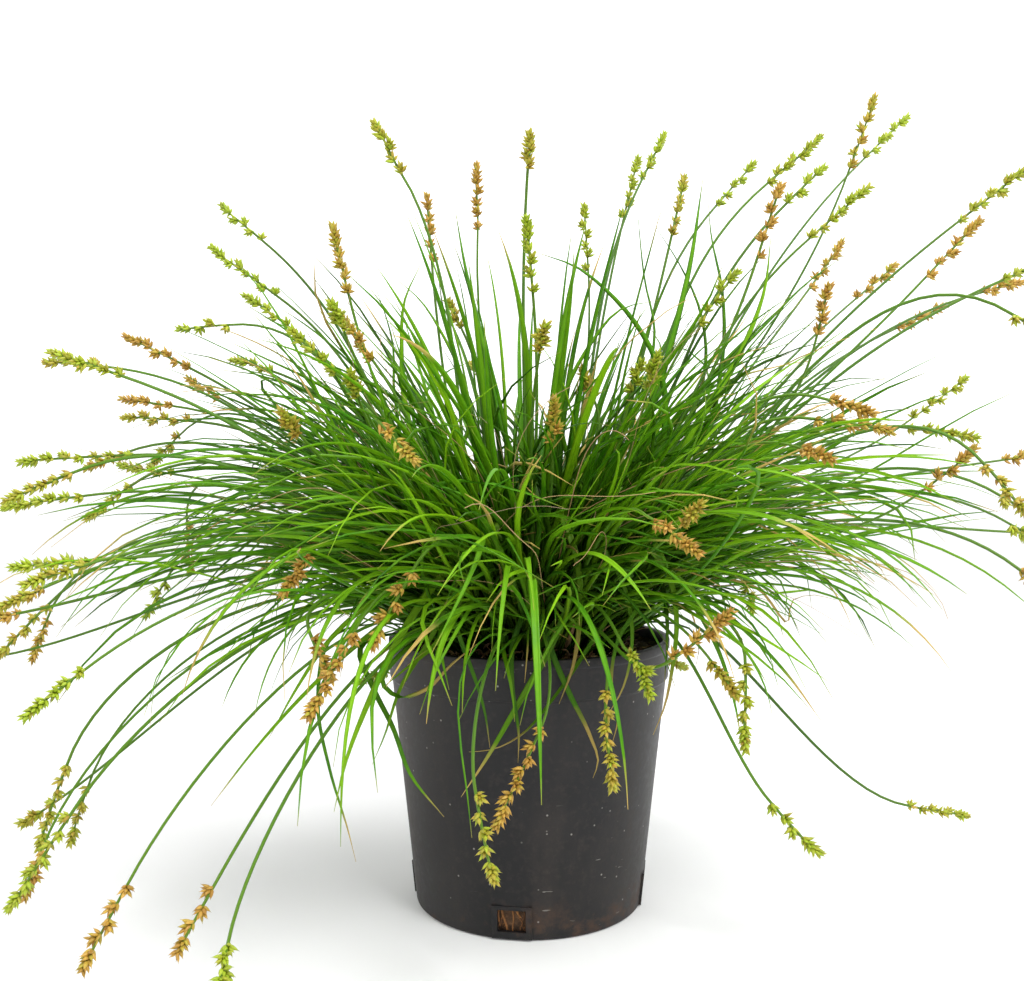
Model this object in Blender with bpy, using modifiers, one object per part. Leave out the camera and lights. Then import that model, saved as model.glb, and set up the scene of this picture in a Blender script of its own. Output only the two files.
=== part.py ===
# A potted sedge: a leafy clump with flower stems, standing in a filled nursery pot.
# Metres, +Z up. The origin is the middle of the pot's underside, -Y is the front.
import math
import random

import bpy
import bmesh
import numpy as np
from mathutils import Vector, noise

MM = 0.001

# Pot: a three-litre nursery container
POT_HEIGHT = 170 * MM
RIM_RADIUS = 90 * MM
BASE_RADIUS = 73 * MM
WALL = 1.8 * MM
FLOOR = 2.4 * MM
COLLAR_HEIGHT = 25 * MM
COLLAR_PROUD = 1.6 * MM
LIP_HEIGHT = 5 * MM
LIP_PROUD = 0.8 * MM
POT_SIDES = 28

# Square drain holes low in the wall, each in a raised frame, and round ones in the floor
SIDE_HOLES = 4
SIDE_HOLE_TURN = math.radians(-98.7)
SIDE_HOLE_WIDTH = 17 * MM
SIDE_HOLE_LOW = 5.5 * MM
SIDE_HOLE_HIGH = 19 * MM
FRAME_WIDTH = 24 * MM
FRAME_HIGH = 22 * MM
FRAME_PROUD = 0.9 * MM
FRAME_ROOT = 1.3 * MM
FRAME_LOW = 0.8 * MM
FLOOR_HOLES = 6
FLOOR_HOLE_RADIUS = 5 * MM
FLOOR_HOLE_RING = 46 * MM

# Soil
GAP = 0.3 * MM
SOIL_TOP = 157 * MM
SOIL_RELIEF = 2.6 * MM
SOIL_SIDES = 18

# The clump: shoots grouped in tufts round a ring, each tuft on its own crown
TUFTS = 10
TUFT_RING = 38 * MM
CROWN_RADIUS = 9.6 * MM
CROWN_DEPTH = 14 * MM
CROWN_RISE = 24 * MM
ROOT_SPREAD = 6.2 * MM
CLEARANCE = 0.9 * MM
CENTRE_RADIUS = 14 * MM
LOWEST_TIP = 9 * MM

# Leaves: keeled blades of three sides
LEAF_WIDTH = (3.4 * MM, 5.2 * MM)
LEAF_KEEL = 0.3
LEAF_STATIONS = (0.0, 0.17, 0.42, 0.70, 1.0)
LEAF_TRIES = 70
LEAF_SPACING = 4.8 * MM
LEAF_SEED = 60

# Flower stems: three-sided, with a spike of spikelets towards the tip
STEM_RADIUS = 1.15 * MM
SPIKELET_RADIUS = 3.3 * MM
SPIKELET_OFFSET = 1.3 * MM
SPIKELET_PITCH = 10 * MM
SHAFT_STATIONS = (0.0, 0.24, 0.5, 0.78)
STEM_SEED = 7
HIDDEN_STEMS = 9

# The view that the flower stems were read from: an eye in front of the pot, a little above
# the rim, looking slightly down, on a picture of 1024 by 981
PICTURE_CENTRE = (512.0, 490.5)
PICTURE_FOCAL = 1106.0
EYE = Vector((-11 * MM, -717 * MM, 287 * MM))
EYE_PITCH = 0.032

# Each flower stem: the picture place of its tip and of its lowest spikelet, and how far
# the tip stands behind the pot's axis in millimetres (negative is nearer)
FLOWER_STEMS = [
    ((223, 208), (262, 240), 120), ((214, 251), (276, 295), 90), ((250, 298), (288, 326), 40),
    ((179, 330), (228, 325), 30), ((377, 124), (405, 172), -60), ((427, 197), (432, 262), 20),
    ((333, 230), (348, 293), -70), ((333, 306), (343, 330), -110), ((291, 331), (336, 373), -130),
    ((343, 320), (372, 360), -90), ((449, 302), (462, 328), 30), ((472, 168), (473, 228), 30),
    ((530, 137), (528, 168), -50), ((527, 223), (533, 292), -90), ((584, 207), (588, 270), 110),
    ((665, 135), (643, 178), 130), ((637, 162), (624, 217), 150), ((684, 182), (672, 235), 60),
    ((753, 165), (717, 205), 90), ((817, 142), (768, 183), 60), ((823, 168), (787, 203), 20),
    ((780, 186), (757, 258), -60), ((735, 273), (697, 325), 0), ((875, 98), (850, 168), 30),
    ((906, 118), (865, 158), 100), ((867, 189), (810, 238), -20), ((842, 244), (810, 288), 120),
    ((828, 287), (817, 335), -80), ((1024, 170), (957, 222), 0), ((975, 225), (927, 276), -30),
    ((1045, 262), (1003, 280), -20), ((1017, 283), (983, 292), 40), ((943, 307), (897, 328), 60),
    ((896, 265), (857, 298), 100), ((1045, 335), (1014, 315), -100), ((47, 362), (98, 366), -20),
    ((57, 354), (122, 376), -80), ((130, 338), (190, 368), 60), ((188, 380), (220, 398), 110),
    ((126, 400), (173, 406), 40), ((126, 417), (190, 421), 90), ((23, 461), (132, 455), -10),
    ((86, 468), (125, 453), 50), ((152, 465), (179, 436), 110), ((8, 500), (72, 473), -100),
    ((12, 506), (83, 496), -60), ((122, 466), (173, 474), 70), ((88, 518), (131, 486), 30),
    ((191, 572), (187, 522), 140), ((13, 567), (88, 561), -120), ((28, 583), (85, 565), -150),
    ((5, 605), (43, 588), -90), ((-15, 620), (20, 613), -40), ((-45, 662), (0, 655), 0),
    ((0, 655), (48, 605), -20), ((34, 657), (47, 620), 30), ((30, 712), (84, 670), -170),
    ((147, 617), (165, 582), 40), ((38, 850), (67, 765), -60), ((22, 824), (42, 811), -40),
    ((12, 906), (70, 815), -120), ((71, 841), (88, 787), -30), ((26, 894), (42, 850), -80),
    ((82, 970), (127, 885), -190), ((176, 954), (213, 887), -180), ((218, 995), (228, 943), -230),
    ((887, 430), (815, 419), -110), ((872, 414), (829, 400), -140), ((967, 378), (913, 418), 110),
    ((974, 438), (908, 428), -60), ((1024, 512), (985, 465), -130), ((971, 453), (925, 489), -80),
    ((1035, 455), (1000, 460), 0), ((1040, 520), (1003, 497), -60), ((1045, 545), (1012, 525), -30),
    ((1048, 534), (1010, 532), 20), ((1048, 592), (1020, 570), -90), ((832, 460), (800, 448), -150),
    ((967, 815), (909, 806), 60), ((815, 851), (771, 803), -100), ((743, 745), (745, 664), -120),
    ((737, 695), (711, 661), -150), ((726, 617), (672, 659), -170), ((753, 612), (744, 580), 80),
    ((493, 880), (476, 793), -170), ((497, 822), (541, 728), -150), ((640, 692), (613, 655), -160),
    ((614, 785), (615, 690), -150), ((372, 645), (412, 572), -170), ((310, 715), (354, 632), -190),
    ((333, 680), (312, 638), -170), ((285, 592), (309, 556), -150), ((412, 459), (380, 423), -170),
    ((553, 405), (553, 442), -120), ((545, 325), (540, 352), -130), ((583, 372), (593, 397), -40),
    ((641, 362), (632, 392), -30), ((657, 358), (648, 390), -80), ((692, 552), (636, 521), -190),
    ((701, 504), (683, 523), -160), ((350, 375), (358, 398), -120), ((283, 415), (298, 433), -130),
    ((237, 360), (272, 371), 60),
]

WEDGE = 2 * math.pi / TUFTS


def clear_file():
    for obj in list(bpy.data.objects):
        bpy.data.objects.remove(obj, do_unlink=True)


def new_collection(name):
    coll = bpy.data.collections.new(name)
    bpy.context.scene.collection.children.link(coll)
    return coll


def new_material(name, colour, roughness, metallic=0.0):
    mat = bpy.data.materials.new(name)
    mat.use_nodes = True
    shader = mat.node_tree.nodes["Principled BSDF"]
    shader.inputs["Base Color"].default_value = (*colour, 1.0)
    shader.inputs["Roughness"].default_value = roughness
    shader.inputs["Metallic"].default_value = metallic
    mat.diffuse_color = (*colour, 1.0)
    return mat


def mesh_object(name, bm, coll, mat=None):
    mesh = bpy.data.meshes.new(name)
    bm.to_mesh(mesh)
    bm.free()
    obj = bpy.data.objects.new(name, mesh)
    coll.objects.link(obj)
    if mat is not None:
        mesh.materials.append(mat)
    return obj


def applied(obj):
    # Replaces the object's mesh by its evaluated one and drops the modifiers
    depsgraph = bpy.context.evaluated_depsgraph_get()
    mesh = bpy.data.meshes.new_from_object(obj.evaluated_get(depsgraph))
    obj.modifiers.clear()
    obj.data = mesh
    return obj


def turned(name, profile, sides, coll, mat):
    # A profile in the XZ plane turned round Z; it runs down its outer side
    bm = bmesh.new()
    verts = [bm.verts.new((x, 0, z)) for x, z in profile]
    for a, b in zip(verts, verts[1:]):
        bm.edges.new((a, b))
    obj = mesh_object(name, bm, coll, mat)
    screw = obj.modifiers.new("turn", "SCREW")
    screw.axis = "Z"
    screw.angle = 2 * math.pi
    screw.steps = sides
    screw.render_steps = sides
    screw.use_merge_vertices = True
    screw.merge_threshold = 0.00005
    screw.use_smooth_shade = False
    return obj


def boolean(obj, operation, target=None, group=None, solver="EXACT"):
    mod = obj.modifiers.new(operation.lower(), "BOOLEAN")
    mod.operation = operation
    mod.solver = solver
    if group is not None:
        mod.operand_type = "COLLECTION"
        mod.collection = group
    else:
        mod.object = target
    return mod


def as_cutter(obj):
    obj.hide_render = True
    obj.display_type = "WIRE"
    return obj


def box(name, size, place, turn, coll):
    bm = bmesh.new()
    bmesh.ops.create_cube(bm, size=1.0)
    bmesh.ops.scale(bm, vec=size, verts=bm.verts)
    obj = mesh_object(name, bm, coll)
    obj.location = place
    obj.rotation_euler = (0, 0, turn)
    return obj


def wall_radius(z):
    # Outer radius of the tapered wall below the collar
    return BASE_RADIUS + (RIM_RADIUS - COLLAR_PROUD - BASE_RADIUS) * z / (POT_HEIGHT - COLLAR_HEIGHT)


def make_pot(coll, cutters, mat):
    collar_low = POT_HEIGHT - COLLAR_HEIGHT
    rim_in = RIM_RADIUS - WALL - COLLAR_PROUD
    profile = [
        (0, FLOOR),
        (wall_radius(FLOOR) - WALL, FLOOR),
        (wall_radius(collar_low) - WALL, collar_low),
        (rim_in, POT_HEIGHT - LIP_HEIGHT),
        (rim_in, POT_HEIGHT - 0.6 * MM),
        (rim_in + 0.6 * MM, POT_HEIGHT),
        (RIM_RADIUS + LIP_PROUD - 1.2 * MM, POT_HEIGHT),
        (RIM_RADIUS + LIP_PROUD, POT_HEIGHT - 1.4 * MM),
        (RIM_RADIUS + LIP_PROUD, POT_HEIGHT - LIP_HEIGHT),
        (RIM_RADIUS, POT_HEIGHT - LIP_HEIGHT - 0.8 * MM),
        (wall_radius(collar_low) + COLLAR_PROUD, collar_low + 1.2 * MM),
        (wall_radius(collar_low), collar_low),
        (wall_radius(2 * MM), 2 * MM),
        (BASE_RADIUS - 1.6 * MM, 0),
        (0, 0),
    ]
    pot = turned("pot", profile, POT_SIDES, coll, mat)
    # Raised frames, then square holes through wall and frame
    for i in range(SIDE_HOLES):
        turn = SIDE_HOLE_TURN + i * 2 * math.pi / SIDE_HOLES
        out = Vector((math.cos(turn), math.sin(turn), 0))
        deep = FRAME_PROUD + FRAME_ROOT
        mid = wall_radius(FRAME_HIGH / 2) + (FRAME_PROUD - FRAME_ROOT) / 2
        frame = box(f"frame_{i + 1}", (deep, FRAME_WIDTH, FRAME_HIGH - 2 * FRAME_LOW),
                    out * mid + Vector((0, 0, FRAME_HIGH / 2 + FRAME_LOW / 2)), turn, cutters)
        # It leans out with the wall
        frame.rotation_euler.y = math.atan((wall_radius(1) - wall_radius(0)) / 1)
        boolean(pot, "UNION", as_cutter(frame))
    for i in range(SIDE_HOLES):
        turn = SIDE_HOLE_TURN + i * 2 * math.pi / SIDE_HOLES
        out = Vector((math.cos(turn), math.sin(turn), 0))
        height = SIDE_HOLE_HIGH - SIDE_HOLE_LOW
        hole = box(f"side_hole_{i + 1}", (16 * MM, SIDE_HOLE_WIDTH, height),
                   out * wall_radius(0) + Vector((0, 0, SIDE_HOLE_LOW + height / 2)), turn, cutters)
        boolean(pot, "DIFFERENCE", as_cutter(hole))
    for i in range(FLOOR_HOLES):
        turn = SIDE_HOLE_TURN + (i + 0.5) * 2 * math.pi / FLOOR_HOLES
        bm = bmesh.new()
        bmesh.ops.create_cone(bm, cap_ends=True, segments=8, radius1=FLOOR_HOLE_RADIUS,
                              radius2=FLOOR_HOLE_RADIUS, depth=4 * FLOOR)
        hole = mesh_object(f"floor_hole_{i + 1}", bm, cutters)
        hole.location = (FLOOR_HOLE_RING * math.cos(turn), FLOOR_HOLE_RING * math.sin(turn), FLOOR / 2)
        boolean(pot, "DIFFERENCE", as_cutter(hole))
    return pot


def soil_height(x, y):
    # Crumbly relief on the soil's top, a little higher in the middle
    bump = noise.noise(Vector((x, y, 0)) * 45) + 0.5 * noise.noise(Vector((x, y, 0.4)) * 110)
    return SOIL_TOP + SOIL_RELIEF * bump + 3 * MM * (1 - math.hypot(x, y) / RIM_RADIUS)


def make_soil(coll, cutters, crowns, mat):
    low = FLOOR + GAP
    collar_low = POT_HEIGHT - COLLAR_HEIGHT
    # The pot's wall has flat sides, and the soil stays inside their nearest points
    flat = math.cos(math.pi / POT_SIDES)
    top_radius = (wall_radius(collar_low) - WALL) * flat - GAP
    low_radius = (wall_radius(low) - WALL) * flat - GAP
    profile = [(0, SOIL_TOP)]
    profile += [(top_radius * f, SOIL_TOP) for f in (0.2, 0.55, 0.78, 1.0)]
    profile += [(top_radius, collar_low - 1 * MM), (low_radius, low), (0, low)]
    soil = applied(turned("soil", profile, SOIL_SIDES, coll, mat))
    for v in soil.data.vertices:
        if v.co.z > SOIL_TOP - 1 * MM:
            v.co.z = soil_height(v.co.x, v.co.y)
    for i, (x, y) in enumerate(crowns):
        bm = bmesh.new()
        bmesh.ops.create_cone(bm, cap_ends=True, segments=6, radius1=CROWN_RADIUS + 3 * GAP,
                              radius2=CROWN_RADIUS + 3 * GAP, depth=4 * CROWN_DEPTH)
        hole = mesh_object(f"crown_hole_{i + 1}", bm, cutters)
        hole.location = (x, y, SOIL_TOP - CROWN_DEPTH - GAP + 2 * CROWN_DEPTH)
        boolean(soil, "DIFFERENCE", as_cutter(hole))
    return soil


def loft(name, rings, tip, coll):
    # Skins three-sided rings from a flat root cap to a pointed tip
    bm = bmesh.new()
    rows = [[bm.verts.new(p) for p in ring] for ring in rings]
    end = bm.verts.new(tip)
    bm.faces.new(list(reversed(rows[0])))
    for low, high in zip(rows, rows[1:]):
        for i in range(3):
            j = (i + 1) % 3
            bm.faces.new((low[i], low[j], high[j]))
            bm.faces.new((low[i], high[j], high[i]))
    for i in range(3):
        bm.faces.new((rows[-1][i], rows[-1][(i + 1) % 3], end))
    bmesh.ops.recalc_face_normals(bm, faces=bm.faces)
    return mesh_object(name, bm, coll)


def in_wedge(point, middle, margin):
    # Keeps a point inside its tuft's wedge, clear of the neighbours by the margin
    radius = max(math.hypot(point.x, point.y), CENTRE_RADIUS)
    turn = math.atan2(point.y, point.x) - middle
    turn = math.atan2(math.sin(turn), math.cos(turn))
    most = max(WEDGE / 2 - (margin + CLEARANCE / 2) / radius, 0.02)
    turn = middle + max(-most, min(most, turn))
    return Vector((radius * math.cos(turn), radius * math.sin(turn), point.z))


def clear_of_pot(points):
    # True where a path stays off the pot, the soil and the ground
    for a, b in zip(points, points[1:]):
        for k in range(9):
            p = a.lerp(b, k / 8)
            radius = math.hypot(p.x, p.y)
            if p.z < LOWEST_TIP:
                return False
            if 78 * MM < radius < RIM_RADIUS + 5 * MM and p.z < POT_HEIGHT + 5 * MM:
                return False
            if radius < 80 * MM and abs(radius - TUFT_RING) > CROWN_RADIUS and p.z < SOIL_TOP + 9 * MM:
                return False
    return True


def bezier(points, t):
    a, b, c, d = points
    s = 1 - t
    return a * s ** 3 + b * (3 * s * s * t) + c * (3 * s * t * t) + d * t ** 3


def seen_at(pixel, depth):
    # The point that the view shows at a picture place, at a distance behind the pot's axis
    across = (pixel[0] - PICTURE_CENTRE[0]) / PICTURE_FOCAL
    up = (PICTURE_CENTRE[1] - pixel[1]) / PICTURE_FOCAL
    ray = Vector((across, math.cos(EYE_PITCH) + up * math.sin(EYE_PITCH),
                  up * math.cos(EYE_PITCH) - math.sin(EYE_PITCH)))
    return EYE + ray * ((depth - EYE.y) / ray.y)


def tuft_of(point):
    # Index and middle direction of the wedge that holds a point
    index = round((math.atan2(point.y, point.x) + math.pi / 2) / WEDGE) % TUFTS
    return index, index * WEDGE - math.pi / 2


def crown_place(middle):
    return Vector((TUFT_RING * math.cos(middle), TUFT_RING * math.sin(middle), SOIL_TOP))


def root_place(middle, heading, lean, rise):
    # Roots stand in order on the crown: each leaves from the side that it heads for, and
    # the more it leans the further out and the lower it starts
    aside = max(-1.0, min(1.0, (heading - middle) / (WEDGE / 2)))
    out = Vector((math.cos(middle), math.sin(middle), 0))
    along = Vector((-out.y, out.x, 0))
    outward = (min(lean, 60) / 60 - 0.5) * 2
    far = max(1.0, math.hypot(aside, outward))
    aside, outward = aside / far, outward / far
    return crown_place(middle) + along * aside * ROOT_SPREAD + out * outward * ROOT_SPREAD \
        + Vector((0, 0, rise - outward * 8 * MM))


def samples(points, count=40):
    # Evenly numbered points along a path, past the stretch that the crown holds
    steps = np.linspace(0.0, len(points) - 1.001, count)
    whole = steps.astype(int)
    part = (steps - whole)[:, None]
    array = np.array([tuple(p) for p in points])
    return (array[whole] * (1 - part) + array[whole + 1] * part)[count // 12:]


def nearness(path, placed):
    # How many of the placed paths come closer than a leaf's width
    near = 0
    for other in placed:
        gap = np.linalg.norm(path[:, None, :] - other[None, :, :], axis=2)
        near += gap.min() < LEAF_SPACING
    return near


def leaf_path(rng, middle, kind):
    # Blade leaving its crown at a lean that grows along it, so that it arches and droops
    lean, bend, length = {
        "upright": (rng.uniform(-9, 16), rng.uniform(14, 55), rng.uniform(0.15, 0.27)),
        "arching": (rng.uniform(12, 36), rng.uniform(45, 95), rng.uniform(0.17, 0.29)),
        "drooping": (rng.uniform(24, 50), rng.uniform(75, 125), rng.uniform(0.17, 0.31)),
    }[kind]
    heading = middle + rng.uniform(-0.5, 0.5) * WEDGE * 1.1
    drift = rng.uniform(-0.5, 0.5)
    root = root_place(middle, heading, lean, rng.uniform(11, 14) * MM)
    points = [root]
    place = root.copy()
    steps = 24
    marks = [round(s * steps) for s in LEAF_STATIONS[1:]]
    for k in range(1, steps + 1):
        s = k / steps
        angle = math.radians(lean + bend * s ** 1.4)
        turn = heading + drift * s * s
        level = math.sin(angle)
        place = place + Vector((level * math.cos(turn), level * math.sin(turn),
                                math.cos(angle))) * (length / steps)
        if k in marks:
            points.append(place.copy())
    return points


def make_leaf(name, rng, middle, kind, placed, coll):
    # Of many seeded draws, the one that crosses the fewest neighbours is kept
    width = rng.uniform(*LEAF_WIDTH)
    best = None
    for attempt in range(LEAF_TRIES):
        points = leaf_path(rng, middle, kind)
        points = [points[0]] + [in_wedge(p, middle, width / 2) for p in points[1:]]
        if not clear_of_pot(points[1:]):
            continue
        line = samples(points)
        near = nearness(line, placed)
        if best is None or near < best[0]:
            best = (near, points, line)
        if near == 0:
            break
    if best is None:
        return
    points = best[1]
    placed.append(best[2])
    twist = rng.uniform(-0.5, 0.5)
    rings = []
    for k, s in enumerate(LEAF_STATIONS[:-1]):
        ahead = points[min(k + 1, len(points) - 1)] - points[max(k - 1, 0)]
        ahead.normalize()
        side = ahead.cross(Vector((0, 0, 1))).normalized()
        above = side.cross(ahead)
        turn = twist * s
        side, above = (side * math.cos(turn) + above * math.sin(turn),
                       above * math.cos(turn) - side * math.sin(turn))
        half = width / 2 * min(0.42 + 3.4 * s, 1.0, 0.62 + (1 - s) ** 2 * 2)
        rings.append([points[k] - side * half + above * half * 0.25,
                      points[k] + side * half + above * half * 0.25,
                      points[k] - above * (LEAF_KEEL * half + 0.6 * MM)])
    loft(name, rings, points[-1], coll)


def stem_path(tip, neck, middle, rng):
    # Rises from the crown, arches over and runs out along its spike
    heading = middle + math.remainder(math.atan2(neck.y, neck.x) - middle, 2 * math.pi)
    lean = math.degrees(math.atan2(math.hypot(neck.x, neck.y) - TUFT_RING, neck.z - SOIL_TOP))
    root = root_place(middle, heading, lean, rng.uniform(12, 15) * MM)
    head = (tip - neck).normalized()
    reach = (neck - root).length
    level = Vector((neck.x - root.x, neck.y - root.y, 0))
    rise = max(reach * 0.42, 70 * MM)
    for attempt in range(12):
        start = (level.normalized() * min(level.length / reach, 0.75) + Vector((0, 0, 1))).normalized()
        arch = [root, root + start * rise, neck - head * reach * 0.33, neck]
        path = [bezier(arch, t) for t in SHAFT_STATIONS] + [neck, tip]
        path = [path[0]] + [in_wedge(p, middle, 2 * MM) for p in path[1:-2]] + \
               [in_wedge(p, middle, SPIKELET_RADIUS + SPIKELET_OFFSET) for p in path[-2:]]
        if clear_of_pot(path[1:]):
            break
        rise *= 1.15
    return path


def make_stem(name, tip, neck, middle, rng, placed, coll):
    path = stem_path(tip, neck, middle, rng)
    placed.append(samples(path))
    tip, neck = path[-1], path[-2]
    rings = []

    def ring(place, ahead, radius, roll):
        side = ahead.cross(Vector((0.02, 0.03, 1))).normalized()
        above = side.cross(ahead)
        rings.append([place + side * radius * math.cos(roll + k * 2 * math.pi / 3)
                      + above * radius * math.sin(roll + k * 2 * math.pi / 3) for k in range(3)])

    for k, place in enumerate(path[:-2]):
        ahead = (path[k + 1] - path[max(k - 1, 0)]).normalized()
        ring(place, ahead, STEM_RADIUS, 0.4)
    # Spikelets, alternately to either side, closer and fuller towards the tip
    head = tip - neck
    ahead = head.normalized()
    side = ahead.cross(Vector((0.02, 0.03, 1))).normalized()
    count = max(3, min(4, round(head.length / SPIKELET_PITCH)))
    ring(neck, ahead, STEM_RADIUS * 0.8, 0.4)
    roll = 0.4
    for k in range(count):
        # The gaps between spikelets close up towards the tip
        low = ((k + 0.35) / count) ** 0.85
        high = ((k + 1.0) / count) ** 0.85
        sway = side * SPIKELET_OFFSET * (1 if k % 2 else -1)
        roll += math.pi / 6
        full = SPIKELET_RADIUS * rng.uniform(0.85, 1.1)
        ring(neck + head * low * 0.96 + sway, ahead, full, roll)
        if k < count - 1:
            roll += math.pi / 6
            ring(neck + head * high * 0.9, ahead, STEM_RADIUS * 0.9, roll)
    loft(name, rings, tip, coll)


def hidden_stem_ends(rng):
    # More of the same stems behind the clump, where the view does not reach
    ends = []
    for k in range(HIDDEN_STEMS):
        turn = math.radians(32 + 116 * (k + rng.uniform(0.1, 0.9)) / HIDDEN_STEMS)
        reach = rng.uniform(0.15, 0.30)
        height = rng.uniform(0.10, 0.40)
        out = Vector((math.cos(turn), math.sin(turn), 0))
        tip = out * reach + Vector((0, 0, height))
        fall = -0.5 + (height - 0.10) / 0.30
        neck = tip - (out + Vector((0, 0, fall))).normalized() * rng.uniform(28, 46) * MM
        ends.append((tip, neck))
    return ends


def keep_largest(obj):
    # Drops loose scraps and the skins of hollows that the fusing has sealed
    bm = bmesh.new()
    bm.from_mesh(obj.data)
    left = set(bm.faces)
    shells = []
    while left:
        shell = []
        front = [left.pop()]
        while front:
            face = front.pop()
            shell.append(face)
            near = {other for edge in face.edges for other in edge.link_faces}
            fresh = near & left
            left -= fresh
            front += fresh
        shells.append(shell)
    shells.sort(key=len, reverse=True)
    for shell in shells[1:]:
        bmesh.ops.delete(bm, geom=shell, context="FACES")
    bm.to_mesh(obj.data)
    bm.free()


def fuse(crown, group):
    # One union of the crown with everything that grows from it
    boolean(crown, "UNION", group=group, solver="MANIFOLD")
    applied(crown)
    keep_largest(crown)
    for obj in list(group.objects):
        bpy.data.objects.remove(obj, do_unlink=True)
    bpy.data.collections.remove(group)
    return crown


def make_tuft(index, ends, coll, mat):
    middle = index * WEDGE - math.pi / 2
    rng = random.Random(LEAF_SEED + index)
    group = new_collection(f"tuft_{index + 1}_pieces")
    placed = []
    for k, (tip, neck) in enumerate(ends):
        make_stem(f"stem_{index + 1}_{k + 1}", tip, neck, middle, rng, placed, group)
    # More upright leaves towards either side of the clump, fewer at its front and back
    sideways = abs(math.cos(middle))
    counts = {"upright": 4 + round(sideways), "arching": 6, "drooping": 6}
    for kind, count in counts.items():
        for k in range(count):
            make_leaf(f"leaf_{index + 1}_{kind}_{k + 1}", rng, middle, kind, placed, group)
    bm = bmesh.new()
    depth = CROWN_DEPTH + CROWN_RISE
    bmesh.ops.create_cone(bm, cap_ends=True, segments=6, radius1=CROWN_RADIUS,
                          radius2=CROWN_RADIUS * 0.85, depth=depth)
    place = crown_place(middle) + Vector((0, 0, depth / 2 - CROWN_DEPTH))
    bmesh.ops.translate(bm, verts=bm.verts, vec=place)
    crown = mesh_object(f"tuft_{index + 1:02d}", bm, coll)
    fuse(crown, group)
    crown.data.materials.clear()
    crown.data.materials.append(mat)
    return crown


def main():
    clear_file()
    parts = new_collection("potted_sedge")
    cutters = new_collection("cutters")
    plastic = new_material("pot_plastic", (0.030, 0.031, 0.033), 0.45)
    earth = new_material("soil", (0.060, 0.038, 0.022), 0.95)
    green = new_material("sedge_green", (0.085, 0.260, 0.020), 0.50)

    make_pot(parts, cutters, plastic)
    middles = [index * WEDGE - math.pi / 2 for index in range(TUFTS)]
    make_soil(parts, cutters, [crown_place(m).xy for m in middles], earth)

    rng = random.Random(STEM_SEED)
    ends = []
    for tip_pixel, neck_pixel, depth in FLOWER_STEMS:
        tip = seen_at(tip_pixel, depth * MM)
        # The spike leans back towards the crown as it goes down
        neck = seen_at(neck_pixel, depth * MM * 0.9)
        ends.append((tip, neck))
    ends += hidden_stem_ends(rng)
    by_tuft = {index: [] for index in range(TUFTS)}
    for tip, neck in ends:
        index, middle = tuft_of(tip)
        by_tuft[index].append((tip, neck))
    for index in range(TUFTS):
        make_tuft(index, by_tuft[index], parts, green)


main()
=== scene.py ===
# A potted sedge dressed for rendering: fine leaves, flower stems, spikelets, soil and pot
import math
import random

import bpy
import numpy as np
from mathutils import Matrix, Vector


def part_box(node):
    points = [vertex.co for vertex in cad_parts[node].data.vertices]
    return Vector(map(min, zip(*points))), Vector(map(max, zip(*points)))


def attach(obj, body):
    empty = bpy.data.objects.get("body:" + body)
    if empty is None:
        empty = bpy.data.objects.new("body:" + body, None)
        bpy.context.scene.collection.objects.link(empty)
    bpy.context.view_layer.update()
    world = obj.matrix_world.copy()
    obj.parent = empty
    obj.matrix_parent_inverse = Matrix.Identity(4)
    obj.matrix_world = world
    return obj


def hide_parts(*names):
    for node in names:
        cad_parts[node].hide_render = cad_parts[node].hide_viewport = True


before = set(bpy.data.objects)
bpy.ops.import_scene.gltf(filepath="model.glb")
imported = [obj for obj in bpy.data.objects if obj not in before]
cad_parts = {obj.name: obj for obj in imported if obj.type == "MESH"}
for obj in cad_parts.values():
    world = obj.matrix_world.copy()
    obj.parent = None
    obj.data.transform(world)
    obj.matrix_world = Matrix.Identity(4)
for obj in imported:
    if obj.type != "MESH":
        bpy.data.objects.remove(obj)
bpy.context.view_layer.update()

mm = 0.001
up = np.array([0.0, 0.0, 1.0])

# The eye that the flower stems were read from, on a picture of 1024 by 981
view = {
    "eye": (-11 * mm, -717 * mm, 287 * mm),
    "pitch": 0.032,          # looking down, in radians
    "focal": 1106.0,         # in picture widths of 1024
    "centre": (512.0, 490.5),
    "width": 1024.0,
}


def makeCamera():
    data = bpy.data.cameras.new("camera")
    obj = bpy.data.objects.new("camera", data)
    bpy.context.scene.collection.objects.link(obj)
    data.sensor_width = 36.0
    data.lens = data.sensor_width * view["focal"] / view["width"]
    data.clip_start = 0.01
    obj.location = view["eye"]
    obj.rotation_euler = (math.pi / 2 - view["pitch"], 0, 0)
    bpy.context.scene.camera = obj


makeCamera()
print("camera ready")


# Shader maths: a socket that adds Math nodes when it meets an operator
class Value:
    def __init__(self, maker, socket):
        self.maker = maker
        self.socket = socket

    def join(self, operation, first, second):
        return self.maker.node("ShaderNodeMath", {"operation": operation}, {0: first, 1: second})

    def __add__(self, other):
        return self.join("ADD", self, other)

    def __radd__(self, other):
        return self.join("ADD", other, self)

    def __sub__(self, other):
        return self.join("SUBTRACT", self, other)

    def __rsub__(self, other):
        return self.join("SUBTRACT", other, self)

    def __mul__(self, other):
        return self.join("MULTIPLY", self, other)

    def __rmul__(self, other):
        return self.join("MULTIPLY", other, self)


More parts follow.
